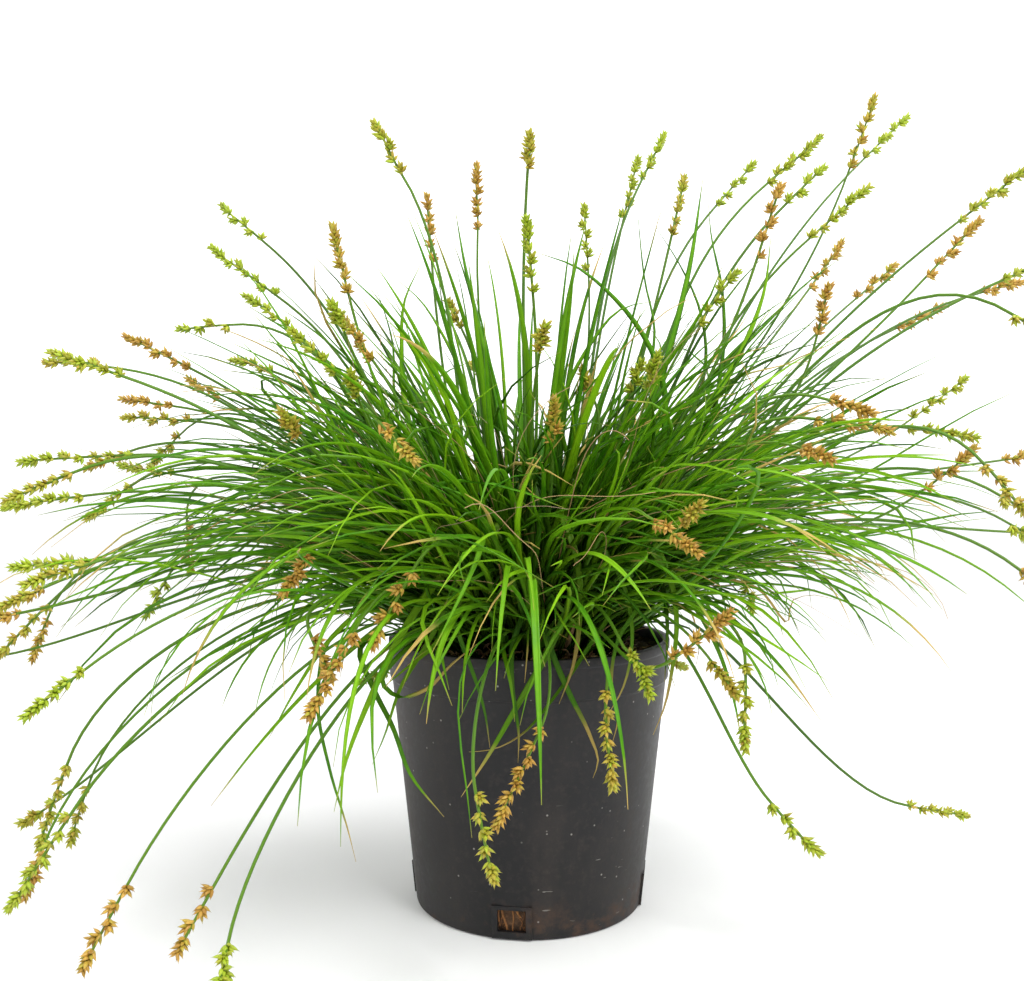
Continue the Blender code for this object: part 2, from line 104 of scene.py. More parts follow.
class Finish:
    # A material under construction; every node comes from the one method below
    def __init__(self, name):
        self.material = bpy.data.materials.new(name)
        self.material.use_nodes = True
        self.tree = self.material.node_tree
        self.shader = self.tree.nodes["Principled BSDF"]

    def feed(self, socket, value):
        if isinstance(value, Value):
            self.tree.links.new(value.socket, socket)
        elif isinstance(value, tuple) and len(value) == 3 and socket.type == "RGBA":
            socket.default_value = (*value, 1.0)
        else:
            socket.default_value = value

    def node(self, kind, settings=None, sockets=None, out=0):
        made = self.tree.nodes.new(kind)
        for key, value in (settings or {}).items():
            if key == "stops":
                ramp = made.color_ramp
                while len(ramp.elements) < len(value):
                    ramp.elements.new(0.5)
                for element, (place, colour) in zip(ramp.elements, value):
                    element.position = place
                    element.color = (*colour, 1.0)
            else:
                setattr(made, key, value)
        for key, value in (sockets or {}).items():
            self.feed(made.inputs[key], value)
        return Value(self, made.outputs[out])

    def outOf(self, value, name):
        # Another output of the node that a value came from
        return Value(self, value.socket.node.outputs[name])

    def clamp(self, value, low, high, toLow=0.0, toHigh=1.0):
        return self.node("ShaderNodeMapRange", {"clamp": True},
                         {0: value, 1: low, 2: high, 3: toLow, 4: toHigh})

    def mix(self, amount, first, second, blend="MIX"):
        made = self.node("ShaderNodeMix", {"data_type": "RGBA", "blend_type": blend}, {0: amount})
        inputs = made.socket.node.inputs
        self.feed(inputs[6], first)
        self.feed(inputs[7], second)
        return Value(self, made.socket.node.outputs[2])

    def places(self):
        return self.node("ShaderNodeTexCoord", out=3)

    def noise(self, where, scale, detail=3.0, rough=0.55, stretch=None):
        if stretch is not None:
            where = self.node("ShaderNodeMapping", None, {"Vector": where, "Scale": stretch})
        return self.node("ShaderNodeTexNoise", None,
                         {"Vector": where, "Scale": scale, "Detail": detail, "Roughness": rough})

    def stripes(self, across, number):
        # A sine that turns the given number of times over the width of a piece
        return self.node("ShaderNodeMath", {"operation": "SINE"}, {0: across * (number * 2 * math.pi)})

    def cells(self, where, scale):
        return self.node("ShaderNodeTexVoronoi", {"feature": "F1"}, {"Vector": where, "Scale": scale})

    def ramp(self, value, *stops):
        return self.node("ShaderNodeValToRGB", {"stops": stops}, {0: value})

    def look(self):
        # The piece's own painted values, as three numbers
        made = self.node("ShaderNodeAttribute", {"attribute_name": "look", "attribute_type": "GEOMETRY"})
        parts = self.node("ShaderNodeSeparateColor", None, {0: made})
        return parts, self.outOf(parts, "Green"), self.outOf(parts, "Blue")

    def uv(self):
        made = self.node("ShaderNodeUVMap", {"uv_map": "UVMap"})
        parts = self.node("ShaderNodeSeparateXYZ", None, {0: made})
        return parts, self.outOf(parts, "Y")

    def surface(self, colour, roughness, bump=None, strength=0.3, distance=0.0005, **fixed):
        self.feed(self.shader.inputs["Base Color"], colour)
        self.feed(self.shader.inputs["Roughness"], roughness)
        if bump is not None:
            normal = self.node("ShaderNodeBump", None,
                               {"Height": bump, "Strength": strength, "Distance": distance})
            self.feed(self.shader.inputs["Normal"], normal)
        for key, value in fixed.items():
            self.shader.inputs[key.replace("_", " ")].default_value = value
        return self.material


# Leaves: painted shade makes the core dark, mid green outside, painted light makes them yellow-green in
# front, with fine veins
leafFinish = {
    # heart, black, near, far and shade set the painted shade that darkens the middle of the clump
    "heart": (0.0, -0.012, 0.182),   # the dark middle of the clump
    "black": (0.002, 0.010, 0.0005),
    "deep": (0.007, 0.046, 0.0008),
    "mid": (0.044, 0.200, 0.002),
    "bright": (0.215, 0.450, 0.006),
    "pale": (0.42, 0.50, 0.16),      # the base of a blade
    "straw": (0.47, 0.34, 0.09),     # a dried tip
    "veins": 7,
    "midrib": 0.09,                  # half its width, as a share of the blade's
    "blotches": 60.0,                # to the metre
    "dryShare": 0.6,                 # the most of a blade that is dry
    "near": 0.042,                   # from the heart, where the shade is deepest
    "far": 0.150,                    # and where it ends
    "shade": 0.95,
}


def makeLeafMaterial():
    f = Finish("leaf_green")
    tone, dry, _ = f.look()
    across, along = f.uv()
    where = f.places()
    colour = f.ramp(tone, (0.0, leafFinish["deep"]), (0.45, leafFinish["mid"]), (1.0, leafFinish["bright"]))
    # Fine lengthwise veins and a paler midrib
    wave = f.stripes(across, leafFinish["veins"])
    aside = f.node("ShaderNodeMath", {"operation": "ABSOLUTE"}, {0: across - 0.5})
    rib = f.clamp(aside, 0.0, leafFinish["midrib"], 1.0, 0.0)
    colour = f.mix(f.clamp(wave, -1.0, 1.0, 0.0, 0.16), colour, leafFinish["deep"])
    colour = f.mix(rib * 0.22, colour, leafFinish["bright"])
    # Blotches along the blade
    blotch = f.noise(where, leafFinish["blotches"], 3.0, 0.6)
    colour = f.mix(f.clamp(blotch, 0.35, 0.75, 0.0, 0.35), colour, leafFinish["bright"])
    # A dried tip, its length drawn for each leaf
    edge = along + (blotch - 0.5) * 0.12
    tip = f.clamp(edge - (1.0 - dry * leafFinish["dryShare"]), -0.03, 0.05)
    colour = f.mix(tip, colour, leafFinish["straw"])
    base = f.clamp(along, 0.0, 0.06, 0.35, 0.0)
    colour = f.mix(base, colour, leafFinish["pale"])
    # Blades shade one another towards the heart of the clump
    fromHeart = f.node("ShaderNodeVectorMath", {"operation": "DISTANCE"},
                       {0: where, 1: leafFinish["heart"]}, out=1)
    shade = f.clamp(fromHeart, leafFinish["near"], leafFinish["far"], leafFinish["shade"], 0.0)
    colour = f.mix(shade, colour, leafFinish["black"])
    return f.surface(colour, f.clamp(blotch, 0.2, 0.8, 0.36, 0.52), wave * 0.5 + rib * 0.8, 0.35, 0.0002,
                     Specular_IOR_Level=0.16)


# Painted light and shade: near is the lit green of stems in front, far the shaded green of stems behind
stemFinish = {
    "near": (0.080, 0.200, 0.010),
    "far": (0.048, 0.118, 0.018),
    "top": (0.120, 0.190, 0.016),
    "grain": 90.0,                   # to the metre
    "grooves": 9,
}


def makeStemMaterial():
    f = Finish("stem_green")
    tone = f.look()[0]
    across, along = f.uv()
    # Painted light and shade: the tone runs from the shaded far green to the lit near green
    colour = f.mix(tone, stemFinish["far"], stemFinish["near"])
    colour = f.mix(f.clamp(along, 0.55, 1.0, 0.0, 0.8), colour, stemFinish["top"])
    grain = f.noise(f.places(), stemFinish["grain"], 3.0, 0.6)
    colour = f.mix(f.clamp(grain, 0.4, 0.8, 0.0, 0.4), colour, stemFinish["near"])
    return f.surface(colour, 0.48, f.stripes(across, stemFinish["grooves"]), 0.25, 0.0002,
                     Specular_IOR_Level=0.22)


# Spikelets: each sac is yellow-green to olive, or tan where the head has ripened
spikeletFinish = {
    "green": (0.290, 0.410, 0.010),
    "light": (0.450, 0.560, 0.030),
    "olive": (0.170, 0.190, 0.006),
    "tan": (0.600, 0.355, 0.060),
    "amber": (0.360, 0.170, 0.018),
    "beak": (0.090, 0.040, 0.008),
    "grain": 900.0,                  # to the metre
    "ribs": 6,
}


def makeSpikeletMaterial():
    f = Finish("spikelets")
    ripe, chance, _ = f.look()
    across, along = f.uv()
    fresh = f.mix(chance, spikeletFinish["green"], spikeletFinish["light"])
    fresh = f.mix(f.clamp(chance, 0.7, 0.95, 0.0, 0.6), fresh, spikeletFinish["olive"])
    dryer = f.mix(chance, spikeletFinish["tan"], spikeletFinish["amber"])
    colour = f.mix(ripe, fresh, dryer)
    ribs = f.stripes(across, spikeletFinish["ribs"])
    colour = f.mix(f.clamp(ribs, -0.2, 1.0, 0.0, 0.22), colour, spikeletFinish["olive"])
    colour = f.mix(f.clamp(along, 0.80, 1.0, 0.0, 0.75), colour, spikeletFinish["beak"])
    colour = f.mix(f.clamp(along, 0.0, 0.25, 0.45, 0.0), colour, spikeletFinish["olive"])
    grain = f.noise(f.places(), spikeletFinish["grain"], 2.0, 0.5)
    return f.surface(colour, f.clamp(grain, 0.3, 0.7, 0.45, 0.62), ribs + grain, 0.3, 0.0002)


strawFinish = {
    "light": (0.560, 0.390, 0.180),
    "brown": (0.230, 0.110, 0.040),
    "grey": (0.260, 0.220, 0.170),
    "grain": 300.0,                  # to the metre
    "ribs": 5,
}


def makeStrawMaterial():
    f = Finish("dry_straw")
    tone, age, _ = f.look()
    colour = f.mix(tone, strawFinish["brown"], strawFinish["light"])
    colour = f.mix(f.clamp(age, 0.6, 1.0, 0.0, 0.7), colour, strawFinish["grey"])
    grain = f.noise(f.places(), strawFinish["grain"], 4.0, 0.6)
    colour = f.mix(f.clamp(grain, 0.4, 0.8, 0.0, 0.5), colour, strawFinish["brown"])
    ribs = f.stripes(f.uv()[0], strawFinish["ribs"])
    return f.surface(colour, 0.7, ribs + grain, 0.3, 0.0002)


rootFinish = {
    "light": (0.330, 0.135, 0.032),
    "brown": (0.060, 0.022, 0.007),
    "grain": 500.0,                  # to the metre
}


def makeRootMaterial():
    f = Finish("roots")
    tone = f.look()[0]
    grain = f.noise(f.places(), rootFinish["grain"], 4.0, 0.6)
    colour = f.mix(f.clamp(tone, 0.0, 0.45), rootFinish["brown"], rootFinish["light"])
    colour = f.mix(f.clamp(grain, 0.45, 0.8, 0.0, 0.6), colour, rootFinish["brown"])
    return f.surface(colour, 0.75, grain, 0.4, 0.0002)


soilFinish = {
    "dark": (0.014, 0.008, 0.005),
    "mid": (0.070, 0.034, 0.014),
    "light": (0.200, 0.100, 0.042),
    "clods": 55.0,                   # to the metre, as are the next two
    "grain": 420.0,
    "crumbs": 260.0,
}


def makeSoilMaterial():
    f = Finish("soil_peat")
    where = f.places()
    big = f.noise(where, soilFinish["clods"], 5.0, 0.65)
    fine = f.noise(where, soilFinish["grain"], 6.0, 0.7)
    cells = f.cells(where, soilFinish["crumbs"])
    colour = f.ramp(big * 0.45 + fine * 0.6,
                    (0.30, soilFinish["dark"]), (0.55, soilFinish["mid"]), (0.80, soilFinish["light"]))
    return f.surface(colour, 0.93, fine + cells * 0.8, 0.8, 0.0012)


potFinish = {
    "dark": (0.0060, 0.0060, 0.0070),
    "worn": (0.0130, 0.0120, 0.0120),
    "dust": (0.085, 0.066, 0.054),
    "speck": (0.34, 0.32, 0.29),
    "mud": (0.110, 0.055, 0.030),
    "clouds": 11.0,                  # to the metre, as are the next six
    "grain": 240.0,
    "runs": 26.0,
    "specks": 210.0,
    "scratches": 70.0,
    "scratchPatches": 9.0,
    "splashes": 42.0,
    "mudTop": 30 * mm,
}


def makePotMaterial():
    f = Finish("pot_plastic")
    where = f.places()
    toRight = f.node("ShaderNodeSeparateXYZ", None, {0: where})
    height = f.outOf(toRight, "Z")
    cloud = f.noise(where, potFinish["clouds"], 4.0, 0.6)
    fine = f.noise(where, potFinish["grain"], 4.0, 0.65)
    colour = f.mix(f.clamp(cloud, 0.35, 0.75), potFinish["dark"], potFinish["worn"])
    # Rubbed patches and a fine grain
    colour = f.mix(f.clamp(fine, 0.50, 0.80, 0.0, 0.22), colour, potFinish["dust"])
    # A dusty film, more on one side and in vertical runs
    runs = f.noise(where, potFinish["runs"], 4.0, 0.6, (1.0, 1.0, 0.12))
    film = f.clamp(runs, 0.50, 0.85, 0.0, 0.30) + f.clamp(cloud, 0.5, 0.9, 0.0, 0.18) \
        + f.clamp(toRight, -0.09, -0.02, 0.16, 0.0)
    colour = f.mix(film, colour, potFinish["dust"])
    # Pale specks and small scratches
    cells = f.cells(where, potFinish["specks"])
    chance = f.node("ShaderNodeSeparateColor", None, {0: f.outOf(cells, "Color")})
    specks = f.clamp(cells, 0.05, 0.16, 1.0, 0.0) * f.clamp(chance, 0.86, 0.88)
    scratch = f.noise(where, potFinish["scratches"], 2.0, 0.5, (1.0, 1.0, 7.0))
    patches = f.noise(where, potFinish["scratchPatches"])
    scratches = f.clamp(scratch, 0.722, 0.735) * f.clamp(patches, 0.52, 0.60)
    colour = f.mix(specks * 0.75, colour, potFinish["speck"])
    colour = f.mix(scratches * 0.45, colour, potFinish["speck"])
    # Soil splashed low down
    splash = f.noise(where, potFinish["splashes"], 5.0, 0.7)
    mud = f.clamp(height, 0.004, potFinish["mudTop"], 1.0, 0.0) * f.clamp(splash, 0.52, 0.70)
    colour = f.mix(mud * 0.7, colour, potFinish["mud"])
    rough = f.clamp(fine, 0.3, 0.7, 0.40, 0.52) + film * 0.5 + mud * 0.2
    return f.surface(colour, rough, fine + runs * 0.6 - scratches, 0.16, 0.0006, Specular_IOR_Level=0.28)


def makeFloorMaterial():
    f = Finish("studio_floor")
    where = f.places()
    grain = f.noise(where, 3.0, 2.0, 0.5)
    parts = f.node("ShaderNodeSeparateXYZ", None, {0: where})
    # The far wall glows a little so that it stays as bright as the floor
    far = f.clamp(f.outOf(parts, "Z"), 0.0, 0.5) * f.clamp(f.outOf(parts, "Y"), 0.6, 1.8)
    glow = f.mix(far, (0.06, 0.06, 0.06), (0.70, 0.70, 0.70))
    f.feed(f.shader.inputs["Emission Color"], glow)
    # Its glow is too weak and wide to be worth sampling as a lamp
    f.material.cycles.emission_sampling = "NONE"
    return f.surface(f.mix(grain, (0.80, 0.80, 0.805), (0.84, 0.84, 0.84)), 0.75, Emission_Strength=1.0)


leafMaterial = makeLeafMaterial()
stemMaterial = makeStemMaterial()
spikeletMaterial = makeSpikeletMaterial()
strawMaterial = makeStrawMaterial()
rootMaterial = makeRootMaterial()
soilMaterial = makeSoilMaterial()
potMaterial = makePotMaterial()
print("materials ready")


def putMesh(name, points, quads, tris, material, uvs=None, look=None):
    # Whole arrays of corners and faces put into one mesh that sits at the origin
    mesh = bpy.data.meshes.new(name)
    quads = np.asarray(quads, dtype=np.int32).reshape(-1, 4)
    tris = np.asarray(tris, dtype=np.int32).reshape(-1, 3)
    loops = np.concatenate([quads.ravel(), tris.ravel()])
    starts = np.concatenate([np.arange(len(quads)) * 4, len(quads) * 4 + np.arange(len(tris)) * 3])
    points = np.asarray(points, dtype=np.float32).reshape(-1, 3)
    mesh.vertices.add(len(points))
    mesh.vertices.foreach_set("co", points.ravel())
    mesh.loops.add(len(loops))
    mesh.loops.foreach_set("vertex_index", loops)
    mesh.polygons.add(len(starts))
    mesh.polygons.foreach_set("loop_start", starts.astype(np.int32))
    mesh.polygons.foreach_set("use_smooth", np.ones(len(starts), dtype=bool))
    mesh.update(calc_edges=True)
    if uvs is not None:
        layer = mesh.uv_layers.new(name="UVMap")
        layer.data.foreach_set("uv", np.asarray(uvs, dtype=np.float32).reshape(-1, 2)[loops].ravel())
    if look is not None:
        paint = mesh.color_attributes.new("look", "FLOAT_COLOR", "POINT")
        full = np.ones((len(points), 4), dtype=np.float32)
        full[:, :3] = look
        paint.data.foreach_set("color", full.ravel())
    mesh.validate()
    obj = bpy.data.objects.new(name, mesh)
    bpy.context.scene.collection.objects.link(obj)
    mesh.materials.append(material)
    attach(obj, "root")
    return obj


def circle(sides):
    return np.arange(sides) / sides * 2 * math.pi


def polar(radius, turn, z):
    # Places at a distance from the pot's axis, at a turn round it and at a height
    x = radius * np.cos(turn)
    return np.stack([x, radius * np.sin(turn), np.broadcast_to(z, x.shape)], -1)


def walk(roots, angle, turn, step):
    # Paths whose every step leans by the angle and heads by the turn
    moves = np.stack([np.sin(angle) * np.cos(turn), np.sin(angle) * np.sin(turn), np.cos(angle)], -1)
    moves = moves * step[..., None]
    moves[:, 0] = 0.0
    return roots[:, None] + np.cumsum(moves, axis=1)


def tubeFaces(count, rings, sides):
    # Faces of many closed tubes at once: rings of corners, then a root point and a tip point
    size = rings * sides + 2
    r, s = np.meshgrid(np.arange(rings - 1), np.arange(sides), indexing="ij")
    nextS = (s + 1) % sides
    low, high = r * sides, (r + 1) * sides
    quad = np.stack([low + s, low + nextS, high + nextS, high + s], axis=-1)
    k = np.arange(sides)
    rootFan = np.stack([np.full(sides, rings * sides), (k + 1) % sides, k], axis=-1)
    last = (rings - 1) * sides
    tipFan = np.stack([np.full(sides, rings * sides + 1), last + k, last + (k + 1) % sides], axis=-1)
    offset = (np.arange(count) * size)[:, None, None]
    quads = (quad.reshape(-1, 4)[None] + offset).reshape(-1, 4)
    tris = (np.concatenate([rootFan, tipFan])[None] + offset).reshape(-1, 3)
    return quads, tris


def normalised(v):
    return v / np.maximum(np.linalg.norm(v, axis=-1, keepdims=True), 1e-9)


def frames(paths, headings=None):
    # Side and above directions for every station of every path
    along = normalised(np.gradient(paths, axis=1))
    if headings is None:
        level = paths[:, -1, :2] - paths[:, 0, :2]
        headings = np.arctan2(level[:, 1], level[:, 0])
    side = np.stack([np.sin(headings), -np.cos(headings), np.zeros_like(headings)], axis=-1)[:, None, :]
    side = normalised(side - (side * along).sum(-1, keepdims=True) * along)
    above = np.cross(side, along)
    return side, above


def sweep(paths, side, above, across, height):
    # A section of corners carried along each path: across and height give each corner's
    # offset at each station, shaped paths x stations x corners; both ends close on a point
    count, rings, sides = across.shape
    corners = (paths[:, :, None, :] + side[:, :, None, :] * across[..., None]
               + above[:, :, None, :] * height[..., None])
    body = corners.reshape(count, rings * sides, 3)
    points = np.concatenate([body, paths[:, :1], paths[:, -1:]], axis=1)
    return points, *tubeFaces(count, rings, sides)


def paint(count, rings, u, endU, *values):
    # Texture places, u round the section and v along the path, and the look of each tube
    sides = len(u)
    uvs = np.zeros((count, rings * sides + 2, 2))
    uvs[:, :-2, 0] = np.tile(u, rings)
    uvs[:, :-2, 1] = np.repeat(np.linspace(0, 1, rings), sides)
    uvs[:, -2:, 0] = endU
    uvs[:, -1, 1] = 1.0
    look = np.zeros((count, rings * sides + 2, 3))
    for k, value in enumerate(values):
        look[..., k] = value[:, None]
    return uvs, look.reshape(-1, 3)


# The section of a leaf: across it from edge to edge over the top and back underneath, the
# rise of each corner by the fold, and how much of the thickness lies above it
blade = {
    "across": np.array([-1.0, -0.5, 0.0, 0.5, 1.0, 0.5, 0.0, -0.5]),
    "top": np.array([1.0, 0.42, 0.0, 0.42, 1.0, 0.42, 0.0, 0.42]),
    "under": np.array([0.0, 0.0, 0.0, 0.0, 0.0, 1.0, 1.45, 1.0]),
    "thickness": 0.34 * mm,
    "footShare": 0.42,         # of the full width, in the sheath
    "widening": 3.4,
    "thinnest": 0.12 * mm,     # half the width of the very tip
}


def bladeMesh(name, paths, widths, folds, twists, tones, dries, rng, headings=None,
              material=leafMaterial):
    # A leaf is a shallow V with thickness, swept along its path: its width rises from the
    # sheath and tapers to a point, the V turns slowly by the twist
    count, rings = paths.shape[:2]
    s = np.linspace(0, 1, rings)[None, :]
    flat, upright = frames(paths, headings)
    turn = (twists[:, None] * s ** 1.3)[..., None]
    side = flat * np.cos(turn) + upright * np.sin(turn)
    above = upright * np.cos(turn) - flat * np.sin(turn)
    share = np.minimum(blade["footShare"] + blade["widening"] * s, 1.0)
    half = widths[:, None] / 2 * share * np.clip(1.0 - s ** 5, 0.0, 1.0)
    half = np.maximum(half, blade["thinnest"])[..., None]
    thick = np.minimum(blade["thickness"], half * 0.5)
    height = half * folds[:, None, None] * blade["top"] - thick * blade["under"]
    points, quads, tris = sweep(paths, side, above, half * blade["across"], height)
    uvs, look = paint(count, rings, (blade["across"] + 1) / 2, 0.5, tones, dries, rng.random(count))
    return putMesh(name, points, quads, tris, material, uvs, look)


def cordMesh(name, paths, radii, sides, tones, rng, material, bulge=0.0):
    # Round or softly three-cornered stems: a circle whose radius swells three times a turn
    count, rings = paths.shape[:2]
    side, above = frames(paths)
    a = circle(sides)
    swell = 1 + bulge * np.cos(3 * a)
    across = radii[..., None] * np.cos(a) * swell
    height = radii[..., None] * np.sin(a) * swell
    points, quads, tris = sweep(paths, side, above, across, height)
    uvs, look = paint(count, rings, a / (2 * math.pi), 0.0, tones, rng.random(count), rng.random(count))
    # Side is to the right of the way up, so the ring runs clockwise: faces are turned round
    return putMesh(name, points, quads[:, ::-1], tris[:, ::-1], material, uvs, look)


# The clump's layout, the same as the solids': ten tufts round a ring, each on its crown
clump = {
    "tufts": 10,
    "ring": 38 * mm,
    "crownRadius": 9.6 * mm,
    "crownRise": 24 * mm,
    "rootSpread": 6.2 * mm,
    "clearance": 0.9 * mm,
    "centreRadius": 14 * mm,
    "lowestTip": 9 * mm,
    "soilTop": 157 * mm,
    "potHeight": 170 * mm,
    "rimRadius": 90 * mm,
    "leafSeed": 60,
    "stemSeed": 7,
    "hiddenStems": 9,
    "stemTries": 12,
    "leafTries": 70,
    "leafSteps": 24,
    "leafSpacing": 4.8 * mm,
    "leafStations": (0.0, 0.17, 0.42, 0.70, 1.0),
    "leafWidth": (3.4 * mm, 5.2 * mm),
    "stemRadius": 1.15 * mm,
    "spikeletRadius": 3.3 * mm,
    "spikeletOffset": 1.3 * mm,
    "spikeletPitch": 10 * mm,
    "shaftStations": (0.0, 0.24, 0.5, 0.78),
}
wedge = 2 * math.pi / clump["tufts"]
middles = np.arange(clump["tufts"]) * wedge - math.pi / 2

# Where a leaf or stem would meet the pot's rim or the soil: a ring round the rim, and the
# soil's disc, each up to a height
keepOff = {"inner": 78 * mm, "outer": 95 * mm, "rimTop": 175 * mm, "soilEdge": 80 * mm, "soilTop": 166 * mm}

# Each flower stem: the picture place of its tip and of its lowest spikelet, how far the tip
# stands behind the pot's axis in millimetres, and how ripe its spike is, from 0 to 1
flowerStems = [
    (223, 208, 262, 240, 120, 0.0), (214, 251, 276, 295, 90, 0.0), (250, 298, 288, 326, 40, 0.0),
    (179, 330, 228, 325, 30, 0.1), (377, 124, 405, 172, -60, 0.35), (427, 197, 432, 262, 20, 0.9),
    (333, 230, 348, 293, -70, 0.7), (333, 306, 343, 330, -110, 0.1), (291, 331, 336, 373, -130, 0.1),
    (343, 320, 372, 360, -90, 0.8), (449, 302, 462, 328, 30, 0.4), (472, 168, 473, 228, 30, 0.9),
    (530, 137, 528, 168, -50, 0.5), (527, 223, 533, 292, -90, 0.05), (584, 207, 588, 270, 110, 0.1),
    (665, 135, 643, 178, 130, 0.0), (637, 162, 624, 217, 150, 0.1), (684, 182, 672, 235, 60, 0.45),
    (753, 165, 717, 205, 90, 0.0), (817, 142, 768, 183, 60, 0.15), (823, 168, 787, 203, 20, 0.0),
    (780, 186, 757, 258, -60, 0.95), (735, 273, 697, 325, 0, 0.1), (875, 98, 850, 168, 30, 0.6),
    (906, 118, 865, 158, 100, 0.0), (867, 189, 810, 238, -20, 0.2), (842, 244, 810, 288, 120, 0.8),
    (828, 287, 817, 335, -80, 1.0), (1024, 170, 957, 222, 0, 0.25), (975, 225, 927, 276, -30, 0.9),
    (1045, 262, 1003, 280, -20, 0.1), (1017, 283, 983, 292, 40, 0.9), (943, 307, 897, 328, 60, 0.9),
    (896, 265, 857, 298, 100, 0.8), (1045, 335, 1014, 315, -100, 0.3), (47, 362, 98, 366, -20, 0.5),
    (57, 354, 122, 376, -80, 0.2), (130, 338, 190, 368, 60, 0.9), (188, 380, 220, 398, 110, 0.9),
    (126, 400, 173, 406, 40, 0.9), (126, 417, 190, 421, 90, 0.5), (23, 461, 132, 455, -10, 0.1),
    (86, 468, 125, 453, 50, 0.7), (152, 465, 179, 436, 110, 0.5), (8, 500, 72, 473, -100, 0.35),
    (12, 506, 83, 496, -60, 0.1), (122, 466, 173, 474, 70, 0.1), (88, 518, 131, 486, 30, 0.3),
    (191, 572, 187, 522, 140, 0.8), (13, 567, 88, 561, -120, 0.1), (28, 583, 85, 565, -150, 0.3),
    (5, 605, 43, 588, -90, 0.5), (-15, 620, 20, 613, -40, 0.9), (-45, 662, 0, 655, 0, 0.1),
    (0, 655, 48, 605, -20, 0.5), (34, 657, 47, 620, 30, 0.8), (30, 712, 84, 670, -170, 0.0),
    (147, 617, 165, 582, 40, 0.0), (38, 850, 67, 765, -60, 0.35), (22, 824, 42, 811, -40, 0.4),
    (12, 906, 70, 815, -120, 0.15), (71, 841, 88, 787, -30, 0.4), (26, 894, 42, 850, -80, 0.9),
    (82, 970, 127, 885, -190, 0.9), (176, 954, 213, 887, -180, 0.9), (218, 995, 228, 943, -230, 0.05),
    (887, 430, 815, 419, -110, 0.8), (872, 414, 829, 400, -140, 0.95), (967, 378, 913, 418, 110, 0.2),
    (974, 438, 908, 428, -60, 0.2), (1024, 512, 985, 465, -130, 0.5), (971, 453, 925, 489, -80, 0.9),
    (1035, 455, 1000, 460, 0, 0.8), (1040, 520, 1003, 497, -60, 0.4), (1045, 545, 1012, 525, -30, 0.1),
    (1048, 534, 1010, 532, 20, 0.1), (1048, 592, 1020, 570, -90, 0.8), (832, 460, 800, 448, -150, 0.95),
    (967, 815, 909, 806, 60, 0.3), (815, 851, 771, 803, -100, 0.15), (743, 745, 745, 664, -120, 0.2),
    (737, 695, 711, 661, -150, 0.6), (726, 617, 672, 659, -170, 0.95), (753, 612, 744, 580, 80, 0.1),
    (493, 880, 476, 793, -170, 0.4), (497, 822, 541, 728, -150, 0.95), (640, 692, 613, 655, -160, 0.1),
    (614, 785, 615, 690, -150, 0.5), (372, 645, 412, 572, -170, 0.9), (310, 715, 354, 632, -190, 0.95),
    (333, 680, 312, 638, -170, 0.95), (285, 592, 309, 556, -150, 1.0), (412, 459, 380, 423, -170, 0.7),
    (553, 405, 553, 442, -120, 0.7), (545, 325, 540, 352, -130, 0.4), (583, 372, 593, 397, -40, 0.5),
    (641, 362, 632, 392, -30, 0.1), (657, 358, 648, 390, -80, 0.1), (692, 552, 636, 521, -190, 0.95),
    (701, 504, 683, 523, -160, 0.6), (350, 375, 358, 398, -120, 0.1), (283, 415, 298, 433, -130, 0.5),
    (237, 360, 272, 371, 60, 0.1),
]


def seenAt(pixel, depth):
    # The point that the view shows at a picture place, at a distance behind the pot's axis
    across = (pixel[0] - view["centre"][0]) / view["focal"]
    rise = (view["centre"][1] - pixel[1]) / view["focal"]
    ray = Vector((across, math.cos(view["pitch"]) + rise * math.sin(view["pitch"]),
                  rise * math.cos(view["pitch"]) - math.sin(view["pitch"])))
    eye = Vector(view["eye"])
    return eye + ray * ((depth - eye.y) / ray.y)


def inWedge(point, middle, margin):
    # Keeps a point inside its tuft's wedge, clear of the neighbours by the margin
    radius = max(math.hypot(point.x, point.y), clump["centreRadius"])
    turn = math.atan2(point.y, point.x) - middle
    turn = math.atan2(math.sin(turn), math.cos(turn))
    most = max(wedge / 2 - (margin + clump["clearance"] / 2) / radius, 0.02)
    turn = middle + max(-most, min(most, turn))
    return Vector((radius * math.cos(turn), radius * math.sin(turn), point.z))


def clearOfPot(points):
    for a, b in zip(points, points[1:]):
        for k in range(9):
            p = a.lerp(b, k / 8)
            radius = math.hypot(p.x, p.y)
            if p.z < clump["lowestTip"]:
                return False
            if keepOff["inner"] < radius < keepOff["outer"] and p.z < keepOff["rimTop"]:
                return False
            offCrown = abs(radius - clump["ring"]) > clump["crownRadius"]
            if radius < keepOff["soilEdge"] and offCrown and p.z < keepOff["soilTop"]:
                return False
    return True


def bezier(points, t):
    a, b, c, d = points
    s = 1 - t
    return a * s ** 3 + b * (3 * s * s * t) + c * (3 * s * t * t) + d * t ** 3


def rootPlace(middle, heading, lean, rise):
    # Roots stand in order on the crown: by heading to either side, by lean outwards and down
    aside = max(-1.0, min(1.0, (heading - middle) / (wedge / 2)))
    out = Vector((math.cos(middle), math.sin(middle), 0))
    along = Vector((-out.y, out.x, 0))
    outward = (min(lean, 60) / 60 - 0.5) * 2
    far = max(1.0, math.hypot(aside, outward))
    aside, outward = aside / far, outward / far
    ring = clump["ring"]
    crownTop = Vector((ring * math.cos(middle), ring * math.sin(middle), clump["soilTop"]))
    return crownTop + along * aside * clump["rootSpread"] + out * outward * clump["rootSpread"] \
        + Vector((0, 0, rise - outward * 8 * mm))


def samples(points):
    # Even places along a line of points, without those at its foot
    count = 40
    steps = np.linspace(0.0, len(points) - 1.001, count)
    whole = steps.astype(int)
    part = (steps - whole)[:, None]
    array = np.array([tuple(p) for p in points])
    return (array[whole] * (1 - part) + array[whole + 1] * part)[count // 12:]


def nearness(path, placed):
    near = 0
    for other in placed:
        gap = np.linalg.norm(path[:, None, :] - other[None, :, :], axis=2)
        near += gap.min() < clump["leafSpacing"]
    return near


